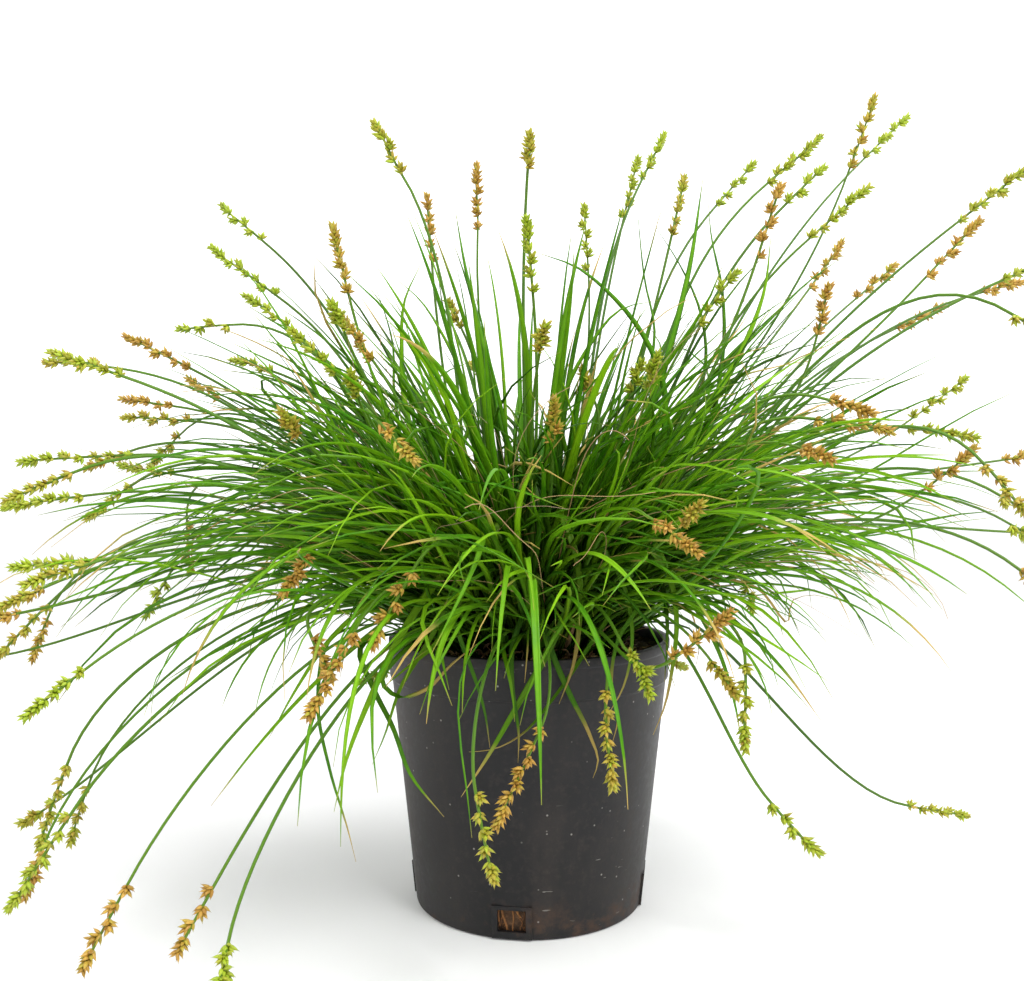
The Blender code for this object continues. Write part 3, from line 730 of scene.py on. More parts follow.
def leafPath(rng, middle, kind):
    # A blade leaves its crown at a lean that grows along it, so that it arches and droops
    lean, bend, length = {
        "upright": (rng.uniform(-9, 16), rng.uniform(14, 55), rng.uniform(0.15, 0.27)),
        "arching": (rng.uniform(12, 36), rng.uniform(45, 95), rng.uniform(0.17, 0.29)),
        "drooping": (rng.uniform(24, 50), rng.uniform(75, 125), rng.uniform(0.17, 0.31)),
    }[kind]
    heading = middle + rng.uniform(-0.5, 0.5) * wedge * 1.1
    drift = rng.uniform(-0.5, 0.5)
    place = rootPlace(middle, heading, lean, rng.uniform(11, 14) * mm)
    fine = [place.copy()]
    steps = clump["leafSteps"]
    for k in range(1, steps + 1):
        s = k / steps
        angle = math.radians(lean + bend * s ** 1.4)
        turn = heading + drift * s * s
        level = math.sin(angle)
        move = Vector((level * math.cos(turn), level * math.sin(turn), math.cos(angle)))
        place = place + move * (length / steps)
        fine.append(place.copy())
    marks = [round(s * steps) for s in clump["leafStations"]]
    return fine, [fine[k] for k in marks]


def leafOf(rng, middle, kind, placed):
    # The same draw as the solid leaf's: the one that crosses the fewest neighbours
    width = rng.uniform(*clump["leafWidth"])
    best = None
    for attempt in range(clump["leafTries"]):
        fine, points = leafPath(rng, middle, kind)
        points = [points[0]] + [inWedge(p, middle, width / 2) for p in points[1:]]
        if not clearOfPot(points[1:]):
            continue
        line = samples(points)
        near = nearness(line, placed)
        if best is None or near < best[0]:
            best = (near, fine, line)
        if near == 0:
            break
    if best is None:
        return None
    placed.append(best[2])
    twist = rng.uniform(-0.5, 0.5)
    path = [best[1][0]] + [inWedge(p, middle, width / 2) for p in best[1][1:]]
    return np.array([tuple(p) for p in path]), width, twist


def stemOf(tip, neck, middle, rng, placed):
    # A stem rises from the crown, arches over and runs out along its spike
    heading = middle + math.remainder(math.atan2(neck.y, neck.x) - middle, 2 * math.pi)
    away = math.hypot(neck.x, neck.y) - clump["ring"]
    lean = math.degrees(math.atan2(away, neck.z - clump["soilTop"]))
    root = rootPlace(middle, heading, lean, rng.uniform(12, 15) * mm)
    head = (tip - neck).normalized()
    reach = (neck - root).length
    level = Vector((neck.x - root.x, neck.y - root.y, 0))
    rise = max(reach * 0.42, 70 * mm)
    spread = clump["spikeletRadius"] + clump["spikeletOffset"]
    for attempt in range(clump["stemTries"]):
        start = (level.normalized() * min(level.length / reach, 0.75) + Vector((0, 0, 1))).normalized()
        arch = [root, root + start * rise, neck - head * reach * 0.33, neck]
        path = [bezier(arch, t) for t in clump["shaftStations"]] + [neck, tip]
        path = [path[0]] + [inWedge(p, middle, 2 * mm) for p in path[1:-2]] + \
               [inWedge(p, middle, spread) for p in path[-2:]]
        if clearOfPot(path[1:]):
            break
        rise *= 1.15
    placed.append(samples(path))
    tip, neck = path[-1], path[-2]
    # The solid's spikelets draw their sizes here
    for k in range(max(3, min(4, round((tip - neck).length / clump["spikeletPitch"])))):
        rng.uniform(0.85, 1.1)
    arch[3] = neck
    fine = [arch[0]] + [inWedge(bezier(arch, t), middle, 2 * mm) for t in np.linspace(0, 1, 25)[1:]]
    return np.array([tuple(p) for p in fine]), np.array(tuple(neck)), np.array(tuple(tip))


def hiddenStemEnds(rng):
    # More of the same stems behind the clump, where the view does not reach
    ends = []
    count = clump["hiddenStems"]
    for k in range(count):
        turn = math.radians(32 + 116 * (k + rng.uniform(0.1, 0.9)) / count)
        reach = rng.uniform(0.15, 0.30)
        height = rng.uniform(0.10, 0.40)
        out = Vector((math.cos(turn), math.sin(turn), 0))
        tip = out * reach + Vector((0, 0, height))
        fall = -0.5 + (height - 0.10) / 0.30
        neck = tip - (out + Vector((0, 0, fall))).normalized() * rng.uniform(28, 46) * mm
        ends.append((tip, neck, (k % 4) * 0.3))
    return ends


def growTufts():
    # Centre lines of every leaf and stem, tuft by tuft
    ends = [(seenAt(row[:2], row[4] * mm), seenAt(row[2:4], row[4] * mm * 0.9), row[5])
            for row in flowerStems]
    ends += hiddenStemEnds(random.Random(clump["stemSeed"]))
    tufts = []
    for index, middle in enumerate(middles.tolist()):
        rng = random.Random(clump["leafSeed"] + index)
        placed = []
        stems = []
        for tip, neck, ripe in ends:
            turn = math.atan2(tip.y, tip.x) + math.pi / 2
            if round(turn / wedge) % clump["tufts"] == index:
                stems.append((*stemOf(tip, neck, middle, rng, placed), ripe))
        leaves = []
        sideways = abs(math.cos(middle))
        counts = {"upright": 4 + round(sideways), "arching": 6, "drooping": 6}
        for kind, count in counts.items():
            for k in range(count):
                leaf = leafOf(rng, middle, kind, placed)
                if leaf is not None:
                    leaves.append(leaf)
        tufts.append((leaves, stems))
    return tufts


tufts = growTufts()
print("tufts grown:", sum(len(leaves) for leaves, _ in tufts), "leaves,",
      sum(len(stems) for _, stems in tufts), "stems")


# More leaves than the solids hold fill the clump to its real density
filling = {
    "leaves": 1500,
    "pieces": 4,
    "seed": 11,
    "stations": 13,
    "width": (1.5 * mm, 3.9 * mm),
    "length": (0.13, 0.29),
    "rootRing": (6 * mm, 48 * mm),
    "gap": 0.018,              # where the two lobes of the clump part, along X
    "lowTop": 0.340,           # height of the leaf tips in that gap
    "highTop": 0.100,          # how much higher the lobes rise
    "sideTop": 0.35,           # how fast the tops fall off to the sides
    "leftLow": 0.125,          # height of the lowest leaves beyond the pot on the left
    "rightLow": 0.165,         # and on the right
    "beyondPot": 0.11,
    "strays": 0.36,            # the share that heads anywhere
    "dries": 0.15,             # the share with a dried tip
    "rimRing": (77 * mm, 97 * mm),
    "overRim": 7 * mm,
    "overSoil": 4 * mm,
    "lowest": 12 * mm,
}


def fillingLeaves():
    # Lean and bend grow with the distance of the root from the middle; each leaf also drifts
    # and waves sideways; those that would touch the pot or rise over the lobes are left out
    rng = np.random.default_rng(filling["seed"])
    n = filling["leaves"] * 7
    s = np.linspace(0, 1, filling["stations"])
    spot = rng.uniform(0, 2 * math.pi, n)
    inner, outermost = filling["rootRing"]
    radius = inner + (outermost - inner) * np.sqrt(rng.random(n))
    stray = rng.random(n) < filling["strays"]
    heading = spot + np.where(stray, rng.normal(0, 1.15, n), rng.normal(0, 0.50, n))
    # The clump leans out to both sides more than to front and back
    heading = heading - 0.16 * np.sin(2 * heading)
    outer = radius / outermost
    lean = np.radians(rng.uniform(0, 26, n) + 34 * outer * rng.random(n))
    bend = np.radians(rng.uniform(10, 70, n) + 85 * outer * rng.random(n) ** 1.3)
    length = rng.uniform(*filling["length"], n) * (0.78 + 0.30 * np.abs(np.cos(heading)))
    width = rng.uniform(*filling["width"], n) * (0.80 + length)
    drift = np.where(stray, rng.normal(0, 1.1, n), rng.normal(0, 0.45, n))
    wave = rng.normal(0, 0.13, n)
    phase = rng.uniform(0, 6.28, n)
    sway = rng.normal(0, 0.15, n)
    angle = lean[:, None] + bend[:, None] * s ** 1.4 + wave[:, None] * np.sin(6 * s + phase[:, None])
    turn = heading[:, None] + drift[:, None] * s ** 2 + sway[:, None] * np.sin(7 * s - phase[:, None])
    roots = polar(radius, spot, clump["soilTop"] - 4 * mm)
    paths = walk(roots, angle, turn, length[:, None] / (len(s) - 1))
    x = paths[..., 0]
    r = np.hypot(x, paths[..., 1])
    z = paths[..., 2]
    later = np.arange(len(s)) > 2
    rimIn, rimOut = filling["rimRing"]
    hitsRim = (r > rimIn) & (r < rimOut) & (z < clump["potHeight"] + filling["overRim"])
    hitsSoil = (r < keepOff["soilEdge"]) & (z < clump["soilTop"] + filling["overSoil"]) & later
    lowTip = z < filling["lowest"]
    aside = np.abs(x - filling["gap"])
    tops = filling["lowTop"] + filling["highTop"] * np.clip(aside / 0.09, 0, 1) \
        - filling["sideTop"] * np.clip(aside - 0.13, 0, 1) + rng.exponential(0.011, n)[:, None]
    lows = np.where(x < 0, filling["leftLow"], filling["rightLow"])
    lows = lows - rng.exponential(0.014, n)[:, None]
    tooLow = (np.abs(x) > filling["beyondPot"]) & (z < lows)
    good = ~(hitsRim | hitsSoil | lowTip | tooLow | (z > tops)).any(axis=1)
    keep = np.nonzero(good)[0][:filling["leaves"]]
    # Painted light and shade: bright in front and outside, painted shade within
    outside = np.clip((r[keep].mean(axis=1) - 0.04) / 0.09, 0, 1)
    front = np.clip(-paths[keep, :, 1].mean(axis=1) / 0.08, -0.4, 1)
    count = len(keep)
    tones = np.clip(0.15 + 0.30 * outside + 0.22 * front + rng.normal(0, 0.22, count), 0.0, 1.0)
    dries = np.where(rng.random(count) < filling["dries"], rng.random(count) * 0.5, 0.03)
    return paths[keep], width[keep], heading[keep], tones, dries, rng


def makeFillingLeaves():
    paths, width, heading, tones, dries, rng = fillingLeaves()
    folds = rng.uniform(0.15, 0.75, len(paths))
    twists = rng.normal(0, 1.0, len(paths))
    marks = np.linspace(0, len(paths), filling["pieces"] + 1).astype(int)
    for k in range(filling["pieces"]):
        part = slice(marks[k], marks[k + 1])
        values = [value[part] for value in (paths, width, folds, twists, tones, dries)]
        bladeMesh(f"filling_leaves_{k + 1}", *values, rng, heading[part])
    print("filling leaves:", len(paths))


# Single blades that hang in front, read from the picture: their places from the top down,
# the depth of the first and the last behind the pot's axis in millimetres, the width in
# millimetres, how bright they are and how much of the tip is dry
frontLeaves = [
    (((505, 520), (454, 562), (408, 624), (372, 695), (345, 765), (334, 812)), -66, -132, 5.0, 0.95, 0.02),
    (((425, 590), (444, 606), (467, 657), (485, 713), (490, 748)), -80, -112, 3.2, 0.45, 0.10),
    (((578, 560), (569, 603), (549, 649), (513, 713), (485, 761), (461, 797)), -78, -116, 4.6, 0.70, 0.20),
    (((563, 520), (577, 560), (580, 611), (572, 670), (559, 704)), -74, -114, 4.4, 0.90, 0.30),
    (((488, 525), (524, 560), (554, 601), (602, 649)), -70, -104, 4.6, 0.75, 0.02),
    (((524, 612), (513, 644), (512, 680), (519, 738), (518, 763)), -84, -112, 3.6, 0.30, 0.15),
    (((540, 610), (551, 650), (569, 693), (590, 736), (598, 762), (593, 778)), -84, -110, 3.8, 0.45, 0.35),
    (((360, 650), (374, 690), (393, 728), (410, 774), (444, 817)), -76, -118, 3.4, 0.50, 0.10),
    (((610, 610), (587, 650), (555, 697), (520, 736), (490, 750), (469, 752)), -84, -110, 3.0, 0.60, 0.30),
    (((636, 520), (663, 560), (676, 611), (672, 670), (664, 708), (653, 735)), -66, -104, 3.8, 0.85, 0.25),
    (((655, 560), (690, 600), (718, 650), (735, 705), (742, 745)), -50, -94, 3.4, 0.55, 0.10),
    (((668, 585), (700, 596), (742, 628), (785, 672), (822, 722)), -40, -60, 3.2, 0.50, 0.25),
    (((330, 640), (318, 700), (330, 770), (348, 830), (356, 862)), -70, -110, 2.6, 0.40, 0.20),
    (((420, 600), (352, 650), (295, 705), (245, 762), (211, 806)), -70, -130, 3.6, 0.80, 0.10),
    (((470, 560), (430, 640), (400, 690), (385, 735), (372, 765)), -76, -112, 3.6, 0.85, 0.05),
    (((400, 655), (382, 682), (398, 697), (425, 690), (452, 664), (482, 640)), -92, -104, 3.0, 0.55, 0.50),
    (((470, 565), (455, 615), (430, 650), (402, 672), (380, 690)), -80, -104, 4.2, 0.90, 0.02),
    (((440, 560), (380, 596), (330, 640), (296, 690), (268, 740)), -70, -104, 3.8, 0.85, 0.05),
    (((600, 545), (625, 590), (632, 640), (622, 690), (607, 716)), -76, -106, 3.4, 0.65, 0.20),
    (((640, 600), (618, 640), (612, 690), (618, 716), (611, 748)), -86, -104, 2.6, 0.50, 0.40),
    (((700, 575), (760, 590), (788, 622), (793, 600), (812, 595), (836, 600)), -30, -50, 2.0, 0.45, 0.75),
    (((610, 560), (640, 545), (668, 570), (700, 596), (730, 640)), -66, -86, 3.4, 0.80, 0.10),
    (((620, 500), (648, 420), (672, 340), (690, 265), (703, 178)), -10, 20, 5.0, 0.50, 0.02),
    (((690, 450), (722, 360), (722, 290), (711, 235), (708, 200)), -10, 10, 3.2, 0.30, 0.02),
    (((640, 500), (700, 420), (745, 345), (765, 290), (771, 235)), -20, -30, 5.4, 0.85, 0.02),
    (((600, 480), (640, 400), (655, 330), (645, 280), (637, 205)), 10, 40, 2.8, 0.30, 0.02),
    (((660, 450), (705, 370), (700, 310), (680, 265), (655, 226)), 10, 30, 2.8, 0.30, 0.02),
    (((640, 480), (665, 395), (640, 330), (612, 296), (578, 268), (535, 252)), -10, -24, 4.2, 0.40, 0.02),
    (((440, 480), (405, 400), (402, 350), (405, 300), (422, 262)), -20, -30, 4.4, 0.75, 0.02),
    (((520, 500), (500, 420), (480, 330), (465, 265), (455, 208)), 0, 20, 4.2, 0.45, 0.02),
    (((600, 480), (690, 400), (760, 330), (808, 282), (850, 252)), 0, 20, 2.6, 0.35, 0.02),
    (((420, 470), (395, 400), (392, 340), (382, 305), (374, 284)), 0, 0, 2.4, 0.30, 0.02),
    (((440, 500), (470, 420), (440, 330), (420, 300), (395, 278)), -10, -20, 3.0, 0.65, 0.02),
    (((590, 500), (560, 420), (590, 345), (620, 310), (660, 300)), -20, -40, 3.4, 0.60, 0.02),
]


frontStations = 34
frontRoots = {"ring": 40 * mm, "sunk": 3 * mm, "lift": 6 * mm}


def smoothLine(points, stations):
    # A curve through all points: between two of them a cubic whose slopes follow the neighbours
    points = np.array(points)
    gaps = np.linalg.norm(np.diff(points, axis=0), axis=1)
    knots = np.concatenate([[0], np.cumsum(gaps)])
    slopes = np.gradient(points, knots, axis=0)
    spots = np.linspace(0, knots[-1], stations)
    i = np.clip(np.searchsorted(knots, spots, side="right") - 1, 0, len(gaps) - 1)
    h = gaps[i][:, None]
    t = ((spots - knots[i]) / gaps[i])[:, None]
    before = points[i] * (2 * t ** 3 - 3 * t ** 2 + 1) + slopes[i] * h * (t ** 3 - 2 * t ** 2 + t)
    after = points[i + 1] * (3 * t ** 2 - 2 * t ** 3) + slopes[i + 1] * h * (t ** 3 - t ** 2)
    return before + after


def makeFrontLeaves():
    rng = np.random.default_rng(17)
    paths = []
    for places, near, far, *_ in frontLeaves:
        depths = np.linspace(near, far, len(places)) * mm
        line = [tuple(seenAt(place, depth)) for place, depth in zip(places, depths)]
        first = np.array(line[0])
        # The root stands on the crowns' ring below the first place that shows
        turn = math.atan2(first[1], first[0])
        root = polar(np.array(frontRoots["ring"]), turn, clump["soilTop"] - frontRoots["sunk"])
        over = root * 0.45 + first * 0.55
        over[2] = max(root[2], first[2]) * 0.5 + first[2] * 0.5 + frontRoots["lift"]
        paths.append(smoothLine([tuple(root), tuple(over)] + line, frontStations))
    paths = np.array(paths)
    widths, tones, dries = list(zip(*frontLeaves))[3:]
    count = len(paths)
    # All of them show their faces to the front
    bladeMesh("front_leaves", paths, np.array(widths) * mm, rng.uniform(0.2, 0.5, count),
              rng.normal(0, 0.5, count), np.array(tones), np.array(dries), rng,
              np.full(count, -math.pi / 2))


# Leaves of the tufts themselves, each tuft's standing in for its solid
def makeTuftLeaves():
    rng = np.random.default_rng(5)
    for index, (leaves, _) in enumerate(tufts):
        paths, widths, twists = [np.array(part) for part in zip(*leaves)]
        count = len(paths)
        halfway = paths[:, clump["leafSteps"] // 2] - paths[:, 0]
        headings = np.arctan2(halfway[:, 1], halfway[:, 0])
        # Painted light: blades towards the front get a brighter tone
        front = np.clip(-paths[:, :, 1].mean(axis=1) / 0.08, -0.5, 1)
        tones = np.clip(0.46 + 0.25 * front + rng.normal(0, 0.16, count), 0.05, 1.0)
        dries = np.where(rng.random(count) < 0.25, rng.random(count) * 0.4, 0.02)
        leafPiece = bladeMesh(f"leaves_{index + 1:02d}", paths, widths * 0.92,
                              rng.uniform(0.2, 0.7, count), twists * 1.4, tones, dries, rng, headings)
        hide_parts(f"tuft_{index + 1:02d}")


makeTuftLeaves()
makeFillingLeaves()
makeFrontLeaves()
print("leaves ready")


# Flower stems: three-cornered, thinner towards the spike
stalk = {"sides": 6, "bulge": 0.16, "headStations": 9, "thinning": 0.38, "thickness": (0.80, 1.08)}


def headLine(neck, tip, lastDirection):
    # From the lowest spikelet to the tip, leaving along the stem and bending gently
    reach = np.linalg.norm(tip - neck)
    t = np.linspace(0, 1, stalk["headStations"])[:, None]
    bendPoint = neck + lastDirection * reach * 0.4
    return neck * (1 - t) ** 2 + bendPoint * 2 * t * (1 - t) + tip * t ** 2


def makeStems():
    rng = np.random.default_rng(21)
    lines = []
    for index, (_, stems) in enumerate(tufts):
        full = []
        for path, neck, tip, ripe in stems:
            head = headLine(neck, tip, normalised(path[-1] - path[-2]))
            lines.append((head, ripe))
            full.append(np.concatenate([path, head[1:]]))
        full = np.array(full)
        s = np.linspace(0, 1, full.shape[1])[None, :]
        radii = clump["stemRadius"] * (1.0 - stalk["thinning"] * s ** 1.5)
        radii = radii * rng.uniform(*stalk["thickness"], (len(full), 1))
        # Painted light and shade: stems that end further forward get a lighter tone, those behind a darker
        # one
        tones = np.clip(0.55 - full[:, -1, 1] * 3 + rng.normal(0, 0.15, len(full)), 0, 1)
        cordMesh(f"stems_{index + 1:02d}", full, radii, stalk["sides"], tones, rng, stemMaterial,
                 stalk["bulge"])
    return lines


spikeLines = makeStems()
print("stems ready")


# Spikelets: pointed sacs packed round each node of the spike, the last one much the longest
spikelet = {
    "sacLength": 6.0 * mm,
    "sacWidth": 2.5 * mm,
    "foot": 3.4 * mm,          # length of the lowest spikelet's axis
    "upper": 5.5 * mm,         # the same near the top
    "top": 10.5 * mm,          # and of the one that ends the spike
    "spacing": 8.0 * mm,       # from one spikelet to the next
    "fewest": 4,
    "most": 7,
    "sacPitch": 0.40 * mm,     # along a spikelet's axis from one sac to the next
    "goldenTurn": 2.4,         # from one sac to the next round the axis, in radians
    "girths": np.array([0.45, 1.0, 0.80, 0.16]),
    "sides": 5,
    "shoulder": 0.82,          # where the beak begins
    "flatness": 0.75,
    "pieces": 4,
}


def sacShape():
    # One sac along +Z: a swollen body that narrows into a beak; unit long, unit wide
    rings, sides = len(spikelet["girths"]), spikelet["sides"]
    s = np.linspace(0.0, 1.0, rings) * spikelet["shoulder"]
    a = circle(sides)
    ring = polar(spikelet["girths"][:, None] / 2, a, s[:, None])
    ring[..., 1] *= spikelet["flatness"]
    points = np.concatenate([ring.reshape(-1, 3), [[0, 0, -0.03], [0, 0, 1.0]]])
    uv = np.zeros((len(points), 2))
    uv[:-2, 0] = np.tile(a / (2 * math.pi), rings)
    uv[:-2, 1] = np.repeat(s, sides)
    uv[-1] = (0.5, 1.0)
    return points, uv


def axesFor(direction):
    # Two directions square to each given one
    spare = np.where(np.abs(direction[..., 2:3]) < 0.9, up, np.array([1.0, 0, 0]))
    side = normalised(np.cross(direction, spare))
    return side, np.cross(direction, side)


def spikeSacs(line, ripe, rng):
    # Places, directions, sizes and looks of the sacs of one spike
    steps = np.linalg.norm(np.diff(line, axis=0), axis=1)
    length = steps.sum()
    count = int(np.clip(round(length / spikelet["spacing"]), spikelet["fewest"], spikelet["most"]))
    top = min(spikelet["top"], length * 0.42) * rng.uniform(0.8, 1.15)
    # Spikelets stand further apart at the foot of the spike than at its top
    t = (np.arange(count) / (count - 1)) ** 0.82 * (1 - top * 0.75 / length)
    shares = np.linspace(0, 1, len(line))
    nodes = np.stack([np.interp(t, shares, line[:, k]) for k in range(3)], -1)
    ahead = normalised(np.array(line[-1] - line[0])[None])
    side, above = axesFor(ahead)
    spin = rng.uniform(0, 6.28)
    found = []
    for k in range(count):
        share = k / (count - 1)
        last = k == count - 1
        foot, upper = spikelet["foot"], spikelet["upper"]
        reach = top if last else foot + (upper - foot) * share
        reach = reach * rng.uniform(0.8, 1.2)
        roll = spin + k * math.pi + rng.normal(0, 0.4)
        out = side[0] * math.cos(roll) + above[0] * math.sin(roll)
        lean = 0.08 if last else rng.uniform(0.35, 0.75)
        axis = normalised(ahead * math.cos(lean) + out * math.sin(lean))
        sacs = int(reach / spikelet["sacPitch"]) + 3
        climb = np.arange(sacs) / (sacs - 1)
        turn = np.arange(sacs) * spikelet["goldenTurn"] + rng.uniform(0, 6.28)
        # Sacs spread at the foot of a spikelet and close up to its point
        tilt = 1.0 - 0.55 * climb ** 2 + rng.normal(0, 0.14, sacs)
        a, b = axesFor(axis)
        around = a * np.cos(turn)[:, None] + b * np.sin(turn)[:, None]
        direction = axis * np.cos(tilt)[:, None] + around * np.sin(tilt)[:, None]
        place = nodes[k] + axis * (climb[:, None] * reach) + around * 0.25 * mm
        size = spikelet["sacLength"] * rng.uniform(0.80, 1.15, sacs) * (1.0 - 0.12 * climb)
        ripeness = ripe * 1.1 - 0.10 + rng.normal(0, 0.17, sacs) + 0.15 * (1 - share)
        look = np.stack([np.clip(ripeness, 0, 1), rng.random(sacs), rng.random(sacs)], -1)
        found.append((place, direction, size, look))
    return [np.concatenate(part) for part in zip(*found)]


def makeSpikelets():
    rng = np.random.default_rng(33)
    shape, uv = sacShape()
    spikes = [spikeSacs(line, ripe, rng) for line, ripe in spikeLines]
    places, directions, sizes, looks = [np.concatenate(part) for part in zip(*spikes)]
    directions = normalised(directions)
    side, above = axesFor(directions)
    widths = spikelet["sacWidth"] / spikelet["sacLength"] * sizes
    widths, sizes = widths[:, None, None], sizes[:, None, None]
    points = (places[:, None] + side[:, None] * shape[None, :, :1] * widths
              + above[:, None] * shape[None, :, 1:2] * widths
              + directions[:, None] * shape[None, :, 2:] * sizes)
    marks = np.linspace(0, len(points), spikelet["pieces"] + 1).astype(int)
    for k in range(spikelet["pieces"]):
        part = slice(marks[k], marks[k + 1])
        n = marks[k + 1] - marks[k]
        quads, tris = tubeFaces(n, len(spikelet["girths"]), spikelet["sides"])
        putMesh(f"spikelets_{k + 1}", points[part], quads, tris, spikeletMaterial,
                np.tile(uv, (n, 1)), np.repeat(looks[part], len(shape), axis=0))
    print("spikelets ready:", len(points), "sacs")


makeSpikelets()


# Crowns: the leaf sheaths bundled at the foot of each tuft, with dead ones round them
crown = {"ridges": 9, "rings": 12, "sides": 54, "sunk": 10 * mm, "shoulder": 0.86, "slimness": 0.93}


def makeCrowns():
    # A ridged cone that narrows upwards: radius = base radius times (1 + ridge wave), less
    # with height, closed on top by drawing the last rings in
    a = circle(crown["sides"])
    s = np.linspace(0, 1, crown["rings"])
    shoulder = crown["shoulder"]
    dome = 0.82 * np.sqrt(np.clip(1 - ((s - shoulder) / 0.145) ** 2, 0.002, 1))
    taper = np.where(s < shoulder, 1.0 - 0.18 * s / shoulder, dome)[:, None]
    start = middles[:, None, None]
    ridge = 1 + 0.09 * np.cos(crown["ridges"] * a + 2.2 * s[:, None] + start)
    low = clump["soilTop"] - crown["sunk"]
    high = clump["soilTop"] + clump["crownRise"]
    heights = low + (high - low) * s[:, None]
    grid = polar(clump["crownRadius"] * crown["slimness"] * taper * ridge, a, heights)
    grid = grid + polar(clump["ring"] * np.ones_like(start), start, 0.0)
    count = len(middles)
    ends = polar(clump["ring"] * np.ones((count, 2)), middles[:, None], np.array([low, high]))
    points = np.concatenate([grid.reshape(count, -1, 3), ends], axis=1)
    quads, tris = tubeFaces(count, crown["rings"], crown["sides"])
    uvs, look = paint(count, crown["rings"], a / (2 * math.pi), 0.0, np.full(count, 0.2))
    uvs[:, :, 1] *= 0.16
    uvs[:, -2:] = 0.0
    putMesh("crowns", points, quads, tris, leafMaterial, uvs, look)


makeCrowns()

litter = {
    "seed": 44,
    "sheaths": 330,
    "sheathRing": (20 * mm, 56 * mm),
    "sheathLength": (18 * mm, 58 * mm),
    "sheathWidth": (1.6 * mm, 4.2 * mm),
    "sheathStations": 9,
    "threads": 85,
    "threadRing": (20 * mm, 45 * mm),
    "threadLength": (0.14, 0.28),
    "threadRadius": (0.22 * mm, 0.45 * mm),
    "threadStations": 30,
    "threadSides": 5,
    "curl": (2 * mm, 10 * mm),
    "rimRing": (77 * mm, 96 * mm),
    "reach": 0.30,
}


def arcs(stations, spot, radius, heading, height, length, lean, bend, drift, wave):
    # Bent strips: lean and bend turn each one over, drift and wave swing it sideways
    s = np.linspace(0, 1, stations)
    angle = lean[:, None] + bend[:, None] * s ** 1.3
    turn = heading[:, None] + drift[:, None] * s ** 1.5 + wave[:, None] * np.sin(7 * s)
    return walk(polar(radius, spot, height), angle, turn, length[:, None] / (stations - 1))


def makeLitter():
    rng = np.random.default_rng(litter["seed"])
    n = litter["sheaths"]
    spot = rng.uniform(0, 2 * math.pi, n)
    radius = rng.uniform(*litter["sheathRing"], n)
    length = rng.uniform(*litter["sheathLength"], n)
    heading = spot + rng.normal(0, 0.7, n)
    paths = arcs(litter["sheathStations"], spot, radius, heading, clump["soilTop"] - 3 * mm, length,
                 rng.uniform(0.0, 0.9, n), rng.uniform(0.2, 1.2, n), rng.normal(0, 0.8, n),
                 rng.normal(0, 0.2, n))
    r = np.hypot(paths[..., 0], paths[..., 1])
    paths = paths[(r <= keepOff["soilEdge"]).all(axis=1)]
    n = len(paths)
    bladeMesh("dead_sheaths", paths, rng.uniform(*litter["sheathWidth"], n), rng.uniform(0.1, 0.8, n),
              rng.normal(0, 0.8, n), rng.random(n), rng.random(n), rng, material=strawMaterial)
    # Curly dry threads among the leaves
    n = litter["threads"]
    spot = rng.uniform(0, 2 * math.pi, n)
    length = rng.uniform(*litter["threadLength"], n)
    heading = spot + rng.normal(0, 0.5, n)
    lean = rng.uniform(0.3, 1.0, n)
    radius = rng.uniform(*litter["threadRing"], n)
    paths = arcs(litter["threadStations"], spot, radius, heading, clump["soilTop"] + 15 * mm, length,
                 lean, rng.uniform(0.2, 1.3, n), rng.normal(0, 0.9, n), rng.normal(0, 0.35, n))
    s = np.linspace(0, 1, litter["threadStations"])
    curl = rng.uniform(*litter["curl"], n)[:, None] * s ** 2.5
    phase = 9 * s + rng.uniform(0, 6.28, n)[:, None]
    paths = paths + np.stack([curl * np.cos(phase), curl * np.sin(phase), curl * np.sin(phase * 1.3)], -1)
    r = np.hypot(paths[..., 0], paths[..., 1])
    z = paths[..., 2]
    rimIn, rimOut = litter["rimRing"]
    hitsRim = (r > rimIn) & (r < rimOut) & (z < clump["potHeight"] + 6 * mm)
    hitsSoil = (r < keepOff["soilEdge"]) & (z < clump["soilTop"] + 5 * mm)
    paths = paths[~(hitsRim | hitsSoil | (r > litter["reach"])).any(axis=1)]
    n = len(paths)
    radii = rng.uniform(*litter["threadRadius"], n)[:, None] * (1 - 0.6 * s)
    cordMesh("dry_threads", paths, radii, litter["threadSides"], rng.uniform(0.3, 1, n), rng, strawMaterial)


makeLitter()
print("crowns and litter ready")


# Soil: a crumbly top with fibres, filling the pot
soil = {
    "grid": (70, 180),
    "wallRings": 13,
    "wallTop": 146 * mm,
    "narrowing": 15 * mm,       # from the top to the underside
    "relief": 2.6 * mm,
    "heap": 6.5 * mm,           # how much higher the soil lies by the wall
    "seed": 8,
    "crumbs": 540,
    "crumbGrid": (5, 7),
    "crumbSize": (0.9 * mm, 3.2 * mm),
    "fibres": 370,
    "fibreRing": (12 * mm, 76 * mm),
    "fibreLength": (6 * mm, 30 * mm),
    "fibreRadius": (0.2 * mm, 0.55 * mm),
    "fibreStations": 10,
    "fibreSides": 5,
}


def smoothNoise(x, y, cells, seed):
    # Value noise: random numbers on a grid, blended smoothly between its corners
    table = np.random.default_rng(seed).random((64, 64))
    fx, fy = x * cells, y * cells
    ix, iy = np.floor(fx).astype(int), np.floor(fy).astype(int)
    tx, ty = fx - ix, fy - iy
    tx, ty = tx * tx * (3 - 2 * tx), ty * ty * (3 - 2 * ty)
    left, right = ix % 64, (ix + 1) % 64
    near, far = iy % 64, (iy + 1) % 64
    low = table[left, near] * (1 - tx) + table[right, near] * tx
    high = table[left, far] * (1 - tx) + table[right, far] * tx
    return low * (1 - ty) + high * ty - 0.5


